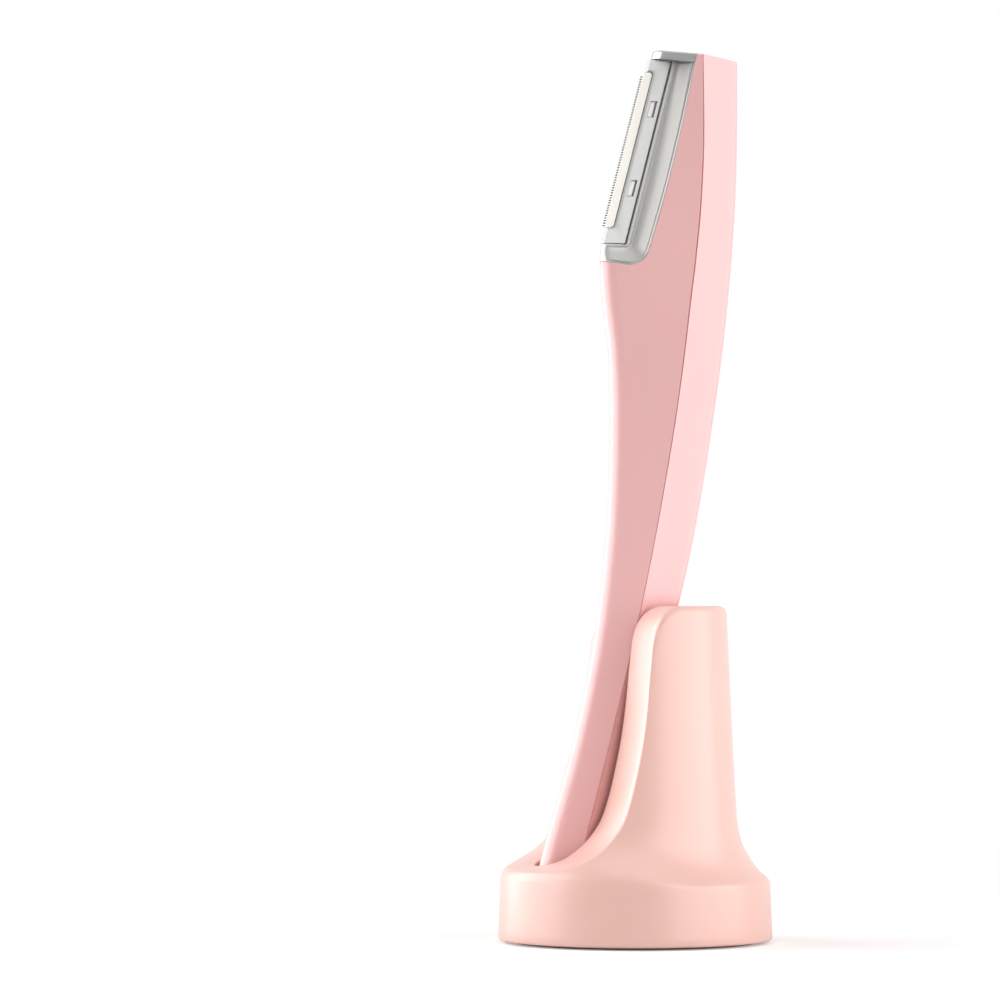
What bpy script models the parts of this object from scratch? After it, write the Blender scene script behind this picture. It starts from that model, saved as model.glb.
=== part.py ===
"""Electric dermaplaning wand standing in its holder.

The wand is a slim, gently curved handle of two shells with a metal head that carries a
clip-on blade cartridge. The holder is a round weighted stand with a scooped front.

Frame: +Z is up, the origin is the middle of the stand's underside, and the blade faces -X.
The whole object is symmetric about the XZ plane. Sizes are in millimetres and are turned
into metres where a mesh is made.
"""

from math import acos, atan2, cos, hypot, pi, radians, sin, sqrt, tan

import bmesh
import bpy
from mathutils import Matrix, Vector

MM = 0.001
FLAT_LIMIT = radians(0.05)

# Wand outline, read along the height
WAND_HEIGHTS = (5.5, 20.0, 35.0, 55.0, 64.0, 83.0, 102.0, 111.0, 121.0, 128.0, 140.0, 153.0, 172.0)
WAND_FRONT = (-21.2, -17.5, -12.9, -8.4, -7.0, -5.2, -4.8, -5.2, -6.4, -6.9, -4.1, -0.5, 5.0)
WAND_SEAM = (-14.85, -11.45, -7.45, -2.6, -0.5, 3.2, 6.35, 7.55, 8.75, 9.65, 10.85, 11.4, 11.25)
WAND_SPINE = (-9.4, -4.9, -0.4, 5.3, 8.2, 12.2, 15.25, 16.5, 17.6, 18.25, 19.1, 19.5, 19.6)
WAND_HALF = (4.3, 4.6, 4.9, 5.3, 5.5, 6.1, 6.6, 6.75, 6.9, 7.0, 6.95, 6.85, 6.6)
NOSE_RADIUS = 3.2
SPINE_SHARE = 0.70
SPINE_CROWN = 0.25
SPINE_CORNER = 1.6
WAND_FOOT = 5.5
FOOT_EDGE = 0.9
WALL = 1.4
SEAM_GAP = 0.3

# The wand's slanted top
TOP_X = 3.5
TOP_Z = 168.3
TOP_FALL = 0.134
LIP = 1.7

# Head opening in the front shell: a long edge, a rounded corner and a bottom edge that rises
# towards the front
EDGE_FOOT_X = 0.95
EDGE_FOOT_Z = 126.95
EDGE_LEAN = 0.25
EDGE_BOW = 0.0018
EDGE_MIDDLE = 147.0
EDGE_HEIGHTS = (172.0, 165.0, 158.0, 150.0, 142.0)
EDGE_RISE = 0.15
EDGE_RADIUS = 3.8
EDGE_FRONT = (-4.0, -5.5, -7.0, -15.0)
HEAD_GAP = 0.25
COVE_WIDTH = 3.0
COVE_FOOT = 1.33
COVE_POWER = 1.7
COVE_LIFT = 0.05
SEAT_HALF = 1.5
TONGUE_DEPTH = 2.6
SHELF_Z = 131.2

# Blade cartridge, seen from the side
CARTRIDGE_FOOT_Z = 131.5
CARTRIDGE_TOP_Z = 166.35
CARTRIDGE_TOP_DROP = 0.55
CARTRIDGE_FOOT_X = -6.5
CARTRIDGE_LEAN = 0.268
CARTRIDGE_DEPTH = 4.25
CARTRIDGE_HALF = 1.1
NOTCH_LOW_Z = 134.4
NOTCH_HIGH_Z = 164.15
NOTCH_DEPTH = 1.25
NOTCH_RADIUS = 0.6
BLADE_HALF = 0.35
CLIP_LOW_Z = 140.45
CLIP_HIGH_Z = 155.5
CLIP_HEIGHT = 3.05
CLIP_START = 2.1
CLIP_END = 3.4
SLOT_DEPTH = 2.4
SLOT_HALF = 0.8
LATCH_HALF = 0.45
GUARD_PITCH = 0.48
GUARD_TIP = -0.75
GUARD_ROOT = -0.53
GUARD_BACK = -0.3
BLADE_GAP = 0.3

# Button, board and battery, laid out along the spine
SPINE_ORIGIN = (15.35, 0.0, 103.0)
SPINE_TILT = radians(7.95)
BUTTON_LENGTH = 9.0
BUTTON_WIDTH = 4.0
BUTTON_STAND = 0.05
BUTTON_CLEAR = 0.3
LENS_PLACE = 9.5
LENS_RADIUS = 0.8

# Vibration motor, laid out along the head's long edge
MOTOR_RADIUS = 2.5
MOTOR_DEPTH = 7.3
MOTOR_LOW = -14.0
MOTOR_HIGH = -1.0
SHAFT_RADIUS = 0.5
WEIGHT_RADIUS = 2.4

# Charging socket in the wand's foot
SOCKET_LENGTH = 7.6
SOCKET_WIDTH = 3.2
SOCKET_LOW = 1.5
SOCKET_HIGH = 8.5

# Stand: radius against height, from the foot up to the top edge. The flare starts higher at
# the front, and every upper edge is rounded.
STAND_PROFILE = ((0.5, 25.85), (11.5, 25.4), (12.3, 24.6), (13.4, 23.4), (14.5, 22.45),
                 (15.7, 21.65), (17.0, 20.85), (19.0, 20.0), (22.0, 19.35), (26.6, 18.95),
                 (34.0, 18.55), (45.5, 18.0), (59.0, 17.4), (63.2, 17.22))
STAND_TOP = 63.2
FLARE_START = 11.5
FLARE_LIFT = 2.2
RIM_RADIUS = 1.6
STAND_SPLIT = 11.5
# Scooped front of the stand: the cut face seen from the side, lip first
SCOOP = ((-40.0, 13.6), (-21.6, 14.2), (-18.0, 15.2), (-15.1, 16.5), (-12.6, 18.4), (-10.4, 20.8),
         (-8.6, 23.7), (-7.2, 27.9), (-6.2, 32.0), (-4.9, 38.4), (-4.1, 44.0), (-3.3, 52.0),
         (-2.7, 57.0), (-2.0, 59.4), (-0.9, 61.2), (0.6, 62.5), (2.2, 63.2))

# Pocket for the wand: a straight channel that leans back
POCKET_LEAN = 0.287
POCKET_BACK = -9.7
POCKET_FRONT = -23.8
POCKET_FLOOR = 5.2
POCKET_HALF_LOW = 5.0
POCKET_HALF_HIGH = 5.95

# Base: plate, weight, anti-slip pad and the screws that hold plate, foot and tower together
BOSS_RADIUS = 3.3
BOSS_CIRCLE = 19.5
BOSS_ANGLES = (0.0, 120.0, 240.0)
BASE_SCREW_LENGTH = 11.5
PLATE_RADIUS = 23.3
PLATE_LOW = 1.6
PLATE_HIGH = 3.6
WEIGHT_OUTER = 20.3
WEIGHT_TOP = 10.2
WEIGHT_FRONT = -3.4
PAD_TOP = 1.3
PAD_RADIUS = 23.3


def clear_scene():
    """Removes every object, so that the script starts from nothing."""
    for item in list(bpy.data.objects):
        bpy.data.objects.remove(item)


def finish_material(name, colour, roughness, metallic=0.0):
    """A plain Principled material in a piece's colour."""
    made = bpy.data.materials.new(name)
    made.use_nodes = True
    shader = made.node_tree.nodes["Principled BSDF"]
    shader.inputs["Base Color"].default_value = (*colour, 1.0)
    shader.inputs["Roughness"].default_value = roughness
    shader.inputs["Metallic"].default_value = metallic
    return made


# Curves and outlines

def along(heights, values, height):
    """Smooth curve through the stations, with no overshoot between them."""
    last = len(heights) - 1
    i = 0
    while i < last - 1 and height > heights[i + 1]:
        i += 1

    def slope(k):
        if k in (0, last):
            a, b = (0, 1) if k == 0 else (last - 1, last)
            return (values[b] - values[a]) / (heights[b] - heights[a])
        before = (values[k] - values[k - 1]) / (heights[k] - heights[k - 1])
        after = (values[k + 1] - values[k]) / (heights[k + 1] - heights[k])
        if before * after <= 0:
            return 0.0
        return 2 * before * after / (before + after)

    span = heights[i + 1] - heights[i]
    t = (height - heights[i]) / span
    return ((2 * t ** 3 - 3 * t ** 2 + 1) * values[i] + (t ** 3 - 2 * t ** 2 + t) * span * slope(i)
            + (3 * t ** 2 - 2 * t ** 3) * values[i + 1] + (t ** 3 - t ** 2) * span * slope(i + 1))


def wand_front(z):
    return along(WAND_HEIGHTS, WAND_FRONT, z)


def wand_seam(z):
    return along(WAND_HEIGHTS, WAND_SEAM, z)


def wand_spine(z):
    return along(WAND_HEIGHTS, WAND_SPINE, z)


def wand_half(z):
    return along(WAND_HEIGHTS, WAND_HALF, z)


def nose_tangent(z, inset=0.0):
    """Centre and radius of the nose arc, and the angle at which the flank leaves it."""
    radius = NOSE_RADIUS - inset
    centre = wand_front(z) + NOSE_RADIUS
    run = wand_seam(z) - centre
    rise = wand_half(z) - inset
    leave = atan2(rise, run) + acos(radius / hypot(run, rise))
    return centre, radius, leave


def flank_half(z, x):
    """Half thickness of the wand at a point of its front flank."""
    centre, radius, leave = nose_tangent(z)
    start = centre + radius * cos(leave)
    if x <= start:
        return sqrt(max(radius ** 2 - (x - centre) ** 2, 0.0))
    share = (x - start) / (wand_seam(z) - start)
    low = radius * sin(leave)
    return low + share * (wand_half(z) - low)


def wand_section(z, inset=0.0, arc=5, corner=3):
    """Closed outline of the wand at one height, from the nose round by +Y to the spine."""
    centre, radius, leave = nose_tangent(z, inset)
    half = wand_half(z) - inset
    points = []
    for k in range(arc):
        turn = pi + (leave - pi) * k / (arc - 1)
        points.append((centre + radius * cos(turn), radius * sin(turn)))
    points.append((wand_seam(z), half))
    back = wand_spine(z) - inset
    knee = Vector((back - SPINE_CROWN, SPINE_SHARE * wand_half(z) - inset))
    to_seam = (Vector(points[-1]) - knee).normalized()
    to_spine = Vector((SPINE_CROWN, -knee.y)).normalized()
    start = knee + to_seam * SPINE_CORNER
    end = knee + to_spine * SPINE_CORNER
    for k in range(corner + 1):
        t = k / corner
        spot = start * (1 - t) ** 2 + knee * 2 * t * (1 - t) + end * t ** 2
        points.append((spot.x, spot.y))
    points.append((back, 0.0))
    mirrored = [(x, -y) for x, y in reversed(points[1:-1])]
    return [(x, y, z) for x, y in points + mirrored]


def filleted(before, corner, after, radius, steps):
    """Points of the arc that rounds a corner between two straight runs."""
    corner = Vector(corner)
    one = (Vector(before) - corner).normalized()
    two = (Vector(after) - corner).normalized()
    half = acos(one.dot(two)) / 2
    centre = corner + (one + two).normalized() * radius / sin(half)
    reach = radius * cos(half) / sin(half)
    first = corner + one * reach - centre
    turn = (corner + two * reach - centre).angle_signed(first)
    points = []
    for k in range(steps + 1):
        spot = Matrix.Rotation(turn * k / steps, 2) @ first + centre
        points.append((spot.x, spot.y))
    return points


def head_edge(inset, steps=5):
    """The edge of the head opening as (x, z) points, top first, moved in by an inset."""
    lean = sqrt(1 + EDGE_LEAN ** 2)
    foot_z = EDGE_FOOT_Z + COVE_FOOT * inset
    foot_x = EDGE_FOOT_X + EDGE_LEAN * (foot_z - EDGE_FOOT_Z) - inset * lean
    rise = EDGE_RISE * (1 - inset / COVE_WIDTH)

    def long_edge(z):
        return foot_x + EDGE_LEAN * (z - foot_z) - EDGE_BOW * (z - EDGE_MIDDLE) ** 2, z

    side = [long_edge(z) for z in EDGE_HEIGHTS]
    corner = long_edge(foot_z)
    front = [(x, foot_z + rise * (corner[0] - x)) for x in EDGE_FRONT]
    return side + filleted(side[-1], corner, front[0], EDGE_RADIUS - inset, steps) + front


def lip_under(x):
    """Height of the underside of the head's top lip."""
    return TOP_Z - LIP - TOP_FALL * (x - TOP_X)


def cartridge_front(z):
    return CARTRIDGE_FOOT_X + CARTRIDGE_LEAN * (z - CARTRIDGE_FOOT_Z)


# Meshes and objects

def new_object(name, shape, finish=None, origin=(0, 0, 0)):
    """Makes one object from a bmesh in millimetres about the given origin."""
    bmesh.ops.connect_verts_nonplanar(shape, angle_limit=FLAT_LIMIT, faces=shape.faces)
    bmesh.ops.recalc_face_normals(shape, faces=shape.faces)
    place = Vector(origin)
    for vertex in shape.verts:
        vertex.co = (vertex.co - place) * MM
    mesh = bpy.data.meshes.new(name)
    shape.to_mesh(mesh)
    shape.free()
    made = bpy.data.objects.new(name, mesh)
    made.location = place * MM
    bpy.context.scene.collection.objects.link(made)
    if finish:
        mesh.materials.append(finish)
    else:
        made.hide_render = True
        made.display_type = "WIRE"
    return made


def loft(rings):
    """Closed solid through rings of equal length, with a cap on each end."""
    shape = bmesh.new()
    rows = [[shape.verts.new(point) for point in ring] for ring in rings]
    count = len(rows[0])
    for low, high in zip(rows, rows[1:]):
        for k in range(count):
            shape.faces.new((low[k], low[(k + 1) % count], high[(k + 1) % count], high[k]))
    shape.faces.new(rows[0])
    shape.faces.new(rows[-1])
    return shape


def side_prism(outline, low, high):
    """Solid whose (x, z) outline runs between two Y values."""
    return loft([[(x, y, z) for x, z in outline] for y in (low, high)])


def turned(profile, segments):
    """Solid of revolution about Z from (height, radius) points."""
    rings = []
    for z, radius in profile:
        angles = [2 * pi * (k + 0.5) / segments for k in range(segments)]
        rings.append([(radius * cos(a), radius * sin(a), z) for a in angles])
    return loft(rings)


def framed(shape, origin, tilt):
    """Turns a bmesh from a local frame, with its length along Z, into place."""
    move = Matrix.Translation(Vector(origin)) @ Matrix.Rotation(tilt, 4, "Y")
    bmesh.ops.transform(shape, matrix=move, verts=shape.verts)
    return shape


def block(low, high):
    """Box between two corners."""
    corners = [(low[0], low[1]), (high[0], low[1]), (high[0], high[1]), (low[0], high[1])]
    return loft([[(x, y, z) for x, y in corners] for z in (low[2], high[2])])


def rod(radius, low, high, segments=16, centre=(0.0, 0.0)):
    """Cylinder along Z."""
    angles = [2 * pi * k / segments for k in range(segments)]
    ring = [(centre[0] + radius * cos(a), centre[1] + radius * sin(a)) for a in angles]
    return loft([[(x, y, z) for x, y in ring] for z in (low, high)])


def obround(length, width, steps=6):
    """Outline with round ends, long along the first axis."""
    radius = width / 2
    reach = length / 2 - radius
    points = []
    for side, start in ((1, -pi / 2), (-1, pi / 2)):
        for k in range(steps + 1):
            turn = start + pi * k / steps
            points.append((side * reach + radius * cos(turn), radius * sin(turn)))
    return points


def cut(target, tool, operation="DIFFERENCE"):
    """Adds a Boolean with a hidden cutter to an object."""
    step = target.modifiers.new("cut_" + tool.name, "BOOLEAN")
    step.object = tool
    step.operation = operation
    step.solver = "EXACT"


def set_parent(child, parent):
    """Parents an object and keeps it where it is."""
    child.location = child.location - parent.location
    child.parent = parent


def joint_point(name, place):
    """Empty that marks where a moving body hangs."""
    made = bpy.data.objects.new(name, None)
    made.location = Vector(place) * MM
    bpy.context.scene.collection.objects.link(made)
    return made


# Wand shells

def wand_solid(inset, low, high):
    """The wand's full outline as one solid, drawn in by an inset."""
    inner = [z for z in (9, 14, 20, 28, 36, 46, 56, 65, 74, 83, 92, 101, 110, 118, 124, 128,
                         133, 140, 147, 153, 159, 164) if low + 1.5 < z < high - 1.5]
    rings = []
    if inset == 0.0:
        rings.append([(x, y, low) for x, y, z in wand_section(low + FOOT_EDGE, FOOT_EDGE)])
        low += FOOT_EDGE
    for z in [low] + inner + [high]:
        rings.append(wand_section(z, inset))
    return loft(rings)


def top_cutter(name, drop):
    """Wedge above the wand's slanted top, lowered by a wall's thickness for the inside."""
    near, far = -30.0, 40.0
    outline = [(x, TOP_Z - drop - TOP_FALL * (x - TOP_X)) for x in (near, far)]
    outline += [(far, 190.0), (near, 190.0)]
    return new_object(name, side_prism(outline, -20.0, 20.0))


def half_cutter(name, side, gap):
    """Everything in front of the seam for side -1, or behind it for side 1."""
    heights = [0.0, 5.5, 12, 20, 28, 36, 46, 56, 65, 74, 83, 92, 101, 110, 118, 124, 128, 133,
               140, 147, 153, 159, 164, 172]
    outline = [(wand_seam(z) - side * gap / 2, z) for z in heights]
    outline += [(side * 50.0, heights[-1]), (side * 50.0, heights[0])]
    return new_object(name, side_prism(outline, -20.0, 20.0))


def build_shells(pink):
    """Front and rear shells: one hollow outline, split along the seam."""
    top = top_cutter("top_cut", 0.0)
    hollow = new_object("wand_hollow", wand_solid(WALL, WAND_FOOT + WALL, 171.0))
    cut(hollow, top_cutter("top_wall_cut", WALL))
    socket = socket_cutter("socket_cut")

    front = new_object("front_shell", wand_solid(0.0, WAND_FOOT, 171.0), pink)
    cut(front, top)
    cut(front, hollow)
    cut(front, half_cutter("rear_half_cut", 1, SEAM_GAP))
    cut(front, new_object("head_cut", side_prism(head_edge(0.0) + [(-15.0, 175.0)], -20, 20)))
    cut(front, socket)

    rear = new_object("rear_shell", wand_solid(0.0, WAND_FOOT, 171.0), pink)
    cut(rear, top)
    cut(rear, hollow)
    cut(rear, half_cutter("front_half_cut", -1, SEAM_GAP))
    cut(rear, button_cutter("button_cut"))
    cut(rear, lens_cutter("lens_cut"))
    cut(rear, socket)
    return [front, rear]


# Head

def edge_at(z, inset):
    """X of the head opening's edge at one height."""
    points = head_edge(inset, 12)
    for (x1, z1), (x2, z2) in zip(points, points[1:]):
        if z2 <= z <= z1 and z1 > z2:
            return x2 + (x1 - x2) * (z - z2) / (z1 - z2)
    return points[-len(EDGE_FRONT) - 1][0]


def head_plug():
    """The head's outer form before the coves: flanks flush with the shells, and a tongue."""
    low = min(z for x, z in head_edge(HEAD_GAP, 12)) + 0.02
    heights = [low, low + 0.4, low + 1.1, low + 2.2, low + 3.6, 134, 138, 143, 148, 153, 158, 162,
               166, 171]
    rings = []
    for z in heights:
        edge = edge_at(z, HEAD_GAP)
        centre, radius, leave = nose_tangent(z)
        half = []
        for k in range(5):
            turn = pi + (leave - pi) * k / 4
            half.append((centre + radius * cos(turn), radius * sin(turn)))
        flank = flank_half(z, edge)
        inner = flank - WALL - HEAD_GAP
        back = edge + TONGUE_DEPTH
        half += [(edge, flank), (edge, inner), (back, inner), (back, 0.0)]
        whole = half + [(x, -y) for x, y in reversed(half[1:-1])]
        rings.append([(x, y, z) for x, y in whole])
    return loft(rings)


def chin_cutter(name):
    """Everything below the head's rising bottom edge."""
    near, far = head_edge(HEAD_GAP)[-len(EDGE_FRONT)], head_edge(HEAD_GAP)[-1]
    slope = (near[1] - far[1]) / (near[0] - far[0])
    outline = [far, (10.0, near[1] + slope * (10.0 - near[0])), (10.0, 100.0), (far[0], 100.0)]
    return new_object(name, side_prism(outline, -12.0, 12.0))


def cove_path(inset):
    """The head's edge moved in by an inset and ended at the underside of the top lip."""
    path = head_edge(inset)
    (x1, z1), (x0, z0) = path[1], path[0]
    share = (lip_under(x1) + COVE_LIFT - z1) / (z0 - z1 + TOP_FALL * (x0 - x1))
    return [(x1 + share * (x0 - x1), z1 + share * (z0 - z1))] + path[1:]


def cove_cutter(name, side):
    """Clears the coved channel and the space beside the cartridge on one side of the head."""
    steps = 5
    loops = []
    outer = cove_path(0.0)
    for k in range(-1, steps + 1):
        share = max(k, 0) / steps
        path = cove_path(COVE_WIDTH * share)
        loop = []
        for (x, z), (x0, z0) in zip(path, outer):
            if k < 0:
                y = 12.0
            else:
                rim = max(flank_half(min(z0, 160.0), x0), SEAT_HALF + 0.4)
                y = SEAT_HALF + (rim - SEAT_HALF) * (1 - share) ** COVE_POWER
            loop.append((x, side * y, z))
        loop.append((-15.0, loop[-1][1], lip_under(-15.0) + COVE_LIFT))
        loops.append(loop)
    return new_object(name, loft(loops))


def bay_cutter(name, back):
    """Clears the space for the cartridge, from its front to a depth behind its front edge."""
    low = (cartridge_front(SHELF_Z) + back, SHELF_Z)
    high_z = 166.0
    high_x = cartridge_front(high_z) + back
    outline = [low, (high_x, lip_under(high_x)), (-14.0, lip_under(-14.0)), (-14.0, SHELF_Z)]
    return new_object(name, side_prism(outline, -11.0, 11.0))


def latch_plate(name):
    """Thin plate of the head that the cartridge clips over."""
    front = CARTRIDGE_DEPTH - SLOT_DEPTH + 0.35
    back = CARTRIDGE_DEPTH + 1.0
    low, high = CARTRIDGE_FOOT_Z + 1.0, CARTRIDGE_TOP_Z - 1.5
    outline = [(cartridge_front(z) + reach, z) for reach, z in
               ((front, low + 0.6), (front + 0.6, low), (back, low), (back, high),
                (front + 0.6, high), (front, high - 0.6))]
    return new_object(name, side_prism(outline, -LATCH_HALF, LATCH_HALF))


def tongue_cutter(name):
    """Ends the head's tongue below the top wall of the shells."""
    drop = WALL + 2 * HEAD_GAP
    start, end = edge_at(166.0, HEAD_GAP) + 0.05, edge_at(171.0, HEAD_GAP) + 0.05
    outline = [(x, TOP_Z - drop - TOP_FALL * (x - TOP_X)) for x in (start, 20.0)]
    outline += [(20.0, 171.0), (end, 171.0)]
    return new_object(name, side_prism(outline, -12.0, 12.0))


def build_nosepiece(silver):
    piece = new_object("nosepiece", head_plug(), silver)
    cut(piece, top_cutter("nose_top_cut", 0.0))
    cut(piece, chin_cutter("chin_cut"))
    cut(piece, tongue_cutter("tongue_top_cut"))
    cut(piece, cove_cutter("cove_left", 1))
    cut(piece, cove_cutter("cove_right", -1))
    cut(piece, bay_cutter("cartridge_bay", CARTRIDGE_DEPTH + 0.3))
    cut(piece, latch_plate("latch_plate"), "UNION")
    for k, place in enumerate((9.0, 13.0)):
        hole = framed(side_rod(0.55, -3.0, TONGUE_DEPTH + 3.0, place), *head_frame())
        cut(piece, new_object("tongue_hole_%d" % (k + 1), hole))
    return [piece]


def build_cartridge(silver, cream, steel):
    """Holder, blade strip and guard, all leaning with the blade."""
    def spot(reach, z):
        return cartridge_front(z) + reach, z

    low, high = CARTRIDGE_FOOT_Z, CARTRIDGE_TOP_Z
    outline = [spot(0, low), spot(0, NOTCH_LOW_Z)]
    outline += filleted(spot(0, NOTCH_LOW_Z), spot(NOTCH_DEPTH, NOTCH_LOW_Z),
                        spot(NOTCH_DEPTH, NOTCH_HIGH_Z), NOTCH_RADIUS, 4)
    outline += filleted(spot(NOTCH_DEPTH, NOTCH_LOW_Z), spot(NOTCH_DEPTH, NOTCH_HIGH_Z),
                        spot(0, NOTCH_HIGH_Z), NOTCH_RADIUS, 4)
    outline += [spot(0, NOTCH_HIGH_Z), spot(0, high),
                spot(CARTRIDGE_DEPTH, high - CARTRIDGE_TOP_DROP), spot(CARTRIDGE_DEPTH, low)]
    origin = (cartridge_front(150.0) + 2.0, 0.0, 150.0)
    plate = side_prism(outline, -CARTRIDGE_HALF, CARTRIDGE_HALF)
    bmesh.ops.triangulate(plate, faces=plate.faces)
    holder = new_object("cartridge_body", plate, silver, origin)
    slot = [spot(CARTRIDGE_DEPTH - SLOT_DEPTH, low - 1), spot(CARTRIDGE_DEPTH - SLOT_DEPTH, high + 1),
            spot(CARTRIDGE_DEPTH + 1, high + 1), spot(CARTRIDGE_DEPTH + 1, low - 1)]
    cut(holder, new_object("cartridge_slot", side_prism(slot, -SLOT_HALF, SLOT_HALF)))
    for k, z in enumerate((CLIP_LOW_Z, CLIP_HIGH_Z)):
        window = [spot(CLIP_START, z), spot(CLIP_END, z), spot(CLIP_END, z + CLIP_HEIGHT),
                  spot(CLIP_START, z + CLIP_HEIGHT)]
        cut(holder, new_object("clip_window_%d" % (k + 1), side_prism(window, -5.0, 5.0)))

    gap = BLADE_GAP
    edge = GUARD_BACK + gap
    strip = [spot(edge, NOTCH_LOW_Z + gap), spot(NOTCH_DEPTH - NOTCH_RADIUS, NOTCH_LOW_Z + gap),
             spot(NOTCH_DEPTH - gap, NOTCH_LOW_Z + NOTCH_RADIUS),
             spot(NOTCH_DEPTH - gap, NOTCH_HIGH_Z - NOTCH_RADIUS),
             spot(NOTCH_DEPTH - NOTCH_RADIUS, NOTCH_HIGH_Z - gap), spot(edge, NOTCH_HIGH_Z - gap)]
    blade = new_object("cartridge_blade", side_prism(strip, -BLADE_HALF, BLADE_HALF), cream, origin)

    teeth = int((NOTCH_HIGH_Z - NOTCH_LOW_Z - 2 * gap) / GUARD_PITCH)
    comb = [spot(GUARD_BACK, NOTCH_HIGH_Z - gap), spot(GUARD_BACK, NOTCH_LOW_Z + gap)]
    for k in range(teeth):
        base = NOTCH_LOW_Z + gap + k * GUARD_PITCH
        comb.append(spot(GUARD_ROOT, base))
        comb.append(spot(GUARD_TIP, base + 0.3 * GUARD_PITCH))
        comb.append(spot(GUARD_TIP, base + 0.7 * GUARD_PITCH))
    comb.append(spot(GUARD_ROOT, NOTCH_LOW_Z + gap + teeth * GUARD_PITCH))
    guard = new_object("cartridge_guard", side_prism(comb, -BLADE_HALF, BLADE_HALF), steel, origin)
    return [holder, blade, guard]


# Head frame: length along the opening's long edge, depth towards the spine

def head_frame():
    tilt = atan2(EDGE_LEAN, 1.0)
    z = EDGE_MIDDLE
    return (EDGE_FOOT_X + EDGE_LEAN * (z - EDGE_FOOT_Z), 0.0, z), tilt


def side_rod(radius, low, high, place, segments=12):
    """Cylinder along the local X axis at one place of the local length."""
    shape = rod(radius, low, high, segments)
    bmesh.ops.transform(shape, matrix=Matrix.Rotation(pi / 2, 4, "Y"), verts=shape.verts)
    bmesh.ops.translate(shape, vec=(0.0, 0.0, place), verts=shape.verts)
    return shape


def build_motor(white, steel, rubber, brass):
    """Motor can in its sleeve and bracket, with the shaft and eccentric weight."""
    origin, tilt = head_frame()
    low = TONGUE_DEPTH + HEAD_GAP + 0.3
    plate = block((low, -4.1, MOTOR_LOW - 0.5), (low + 0.8, 4.1, 15.0))
    bracket = new_object("head_bracket", framed(plate, origin, tilt), white)
    for name, side in (("bracket_left", 1), ("bracket_right", -1)):
        near, far = sorted((side * 3.6, side * 4.0))
        arm = framed(block((low + 0.4, near, MOTOR_LOW), (MOTOR_DEPTH + 0.6, far, -1.5)), origin, tilt)
        cut(bracket, new_object(name, arm), "UNION")
    pieces = [bracket]
    for k, place in enumerate((9.0, 13.0)):
        hole = framed(side_rod(0.9, low - 1, low + 2, place), origin, tilt)
        cut(bracket, new_object("bracket_hole_%d" % (k + 1), hole))
        screw = screw_shape(0.5, 4.4, 1.2, 0.7)
        turn = Matrix.Translation((low + 1.1, 0, place)) @ Matrix.Rotation(pi / 2, 4, "Y")
        bmesh.ops.transform(screw, matrix=turn, verts=screw.verts)
        pieces.append(new_object("nosepiece_screw_%d" % (k + 1), framed(screw, origin, tilt), steel))

    axis = Matrix.Rotation(tilt, 4, "Y") @ Vector((MOTOR_DEPTH, 0.0, 0.0)) + Vector(origin)
    tube = ((MOTOR_LOW + 0.7, 3.3), (MOTOR_HIGH - 0.7, 3.3))
    sleeve = new_object("motor_sleeve", framed(turned(tube, 24), axis, tilt), rubber)
    bore = framed(rod(MOTOR_RADIUS + 0.3, MOTOR_LOW - 2, MOTOR_HIGH + 2, 24), axis, tilt)
    cut(sleeve, new_object("sleeve_bore", bore))
    can = new_object("motor_can", framed(rod(MOTOR_RADIUS, MOTOR_LOW, MOTOR_HIGH, 24), axis, tilt), steel)
    well = framed(rod(SHAFT_RADIUS + 0.3, MOTOR_LOW + 2, MOTOR_HIGH + 2, 12), axis, tilt)
    cut(can, new_object("shaft_well", well))
    shaft = new_object("motor_shaft", framed(rod(SHAFT_RADIUS, MOTOR_LOW + 2.4, 5.6, 12), axis, tilt),
                       steel, axis)
    fan = [(WEIGHT_RADIUS * cos(a), WEIGHT_RADIUS * sin(a))
           for a in [-pi / 2 + pi * k / 10 for k in range(11)]]
    fan += [(-0.9, 1.0), (-0.9, -1.0)]
    slug = loft([[(x, y, z) for x, y in fan] for z in (1.0, 5.0)])
    weight = new_object("eccentric_weight", framed(slug, axis, tilt), brass, axis)
    hole = framed(rod(SHAFT_RADIUS + 0.1, 0.0, 6.0, 12), axis, tilt)
    cut(weight, new_object("weight_bore", hole))
    return pieces + [sleeve, can], [shaft, weight]


def screw_shape(shank, length, head, height):
    """Screw along -Z with a round head above Z=0."""
    profile = [(-length, shank * 0.5), (-length + shank, shank), (0.0, shank), (0.0, head),
               (height * 0.6, head), (height, head * 0.7)]
    return turned(profile, 12)


# Spine frame: length along the spine, depth into the handle

def spine_block(low, high):
    """Box in the spine's frame: depth inwards, width, length."""
    return framed(block((-high[0], low[1], low[2]), (-low[0], high[1], high[2])),
                  SPINE_ORIGIN, SPINE_TILT)


def spine_post(outline, near, far, place):
    """Solid whose (length, width) outline runs between two depths."""
    rings = [[(-depth, b, place + a) for a, b in outline] for depth in (near, far)]
    return framed(loft(rings), SPINE_ORIGIN, SPINE_TILT)


def button_cutter(name):
    shape = obround(BUTTON_LENGTH + 2 * BUTTON_CLEAR, BUTTON_WIDTH + 2 * BUTTON_CLEAR)
    return new_object(name, spine_post(shape, 4.0, -4.0, 0.0))


def lens_cutter(name):
    shape = obround(2 * (LENS_RADIUS + 0.25) + 0.001, 2 * (LENS_RADIUS + 0.25))
    return new_object(name, spine_post(shape, 4.0, -4.0, LENS_PLACE))


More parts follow.
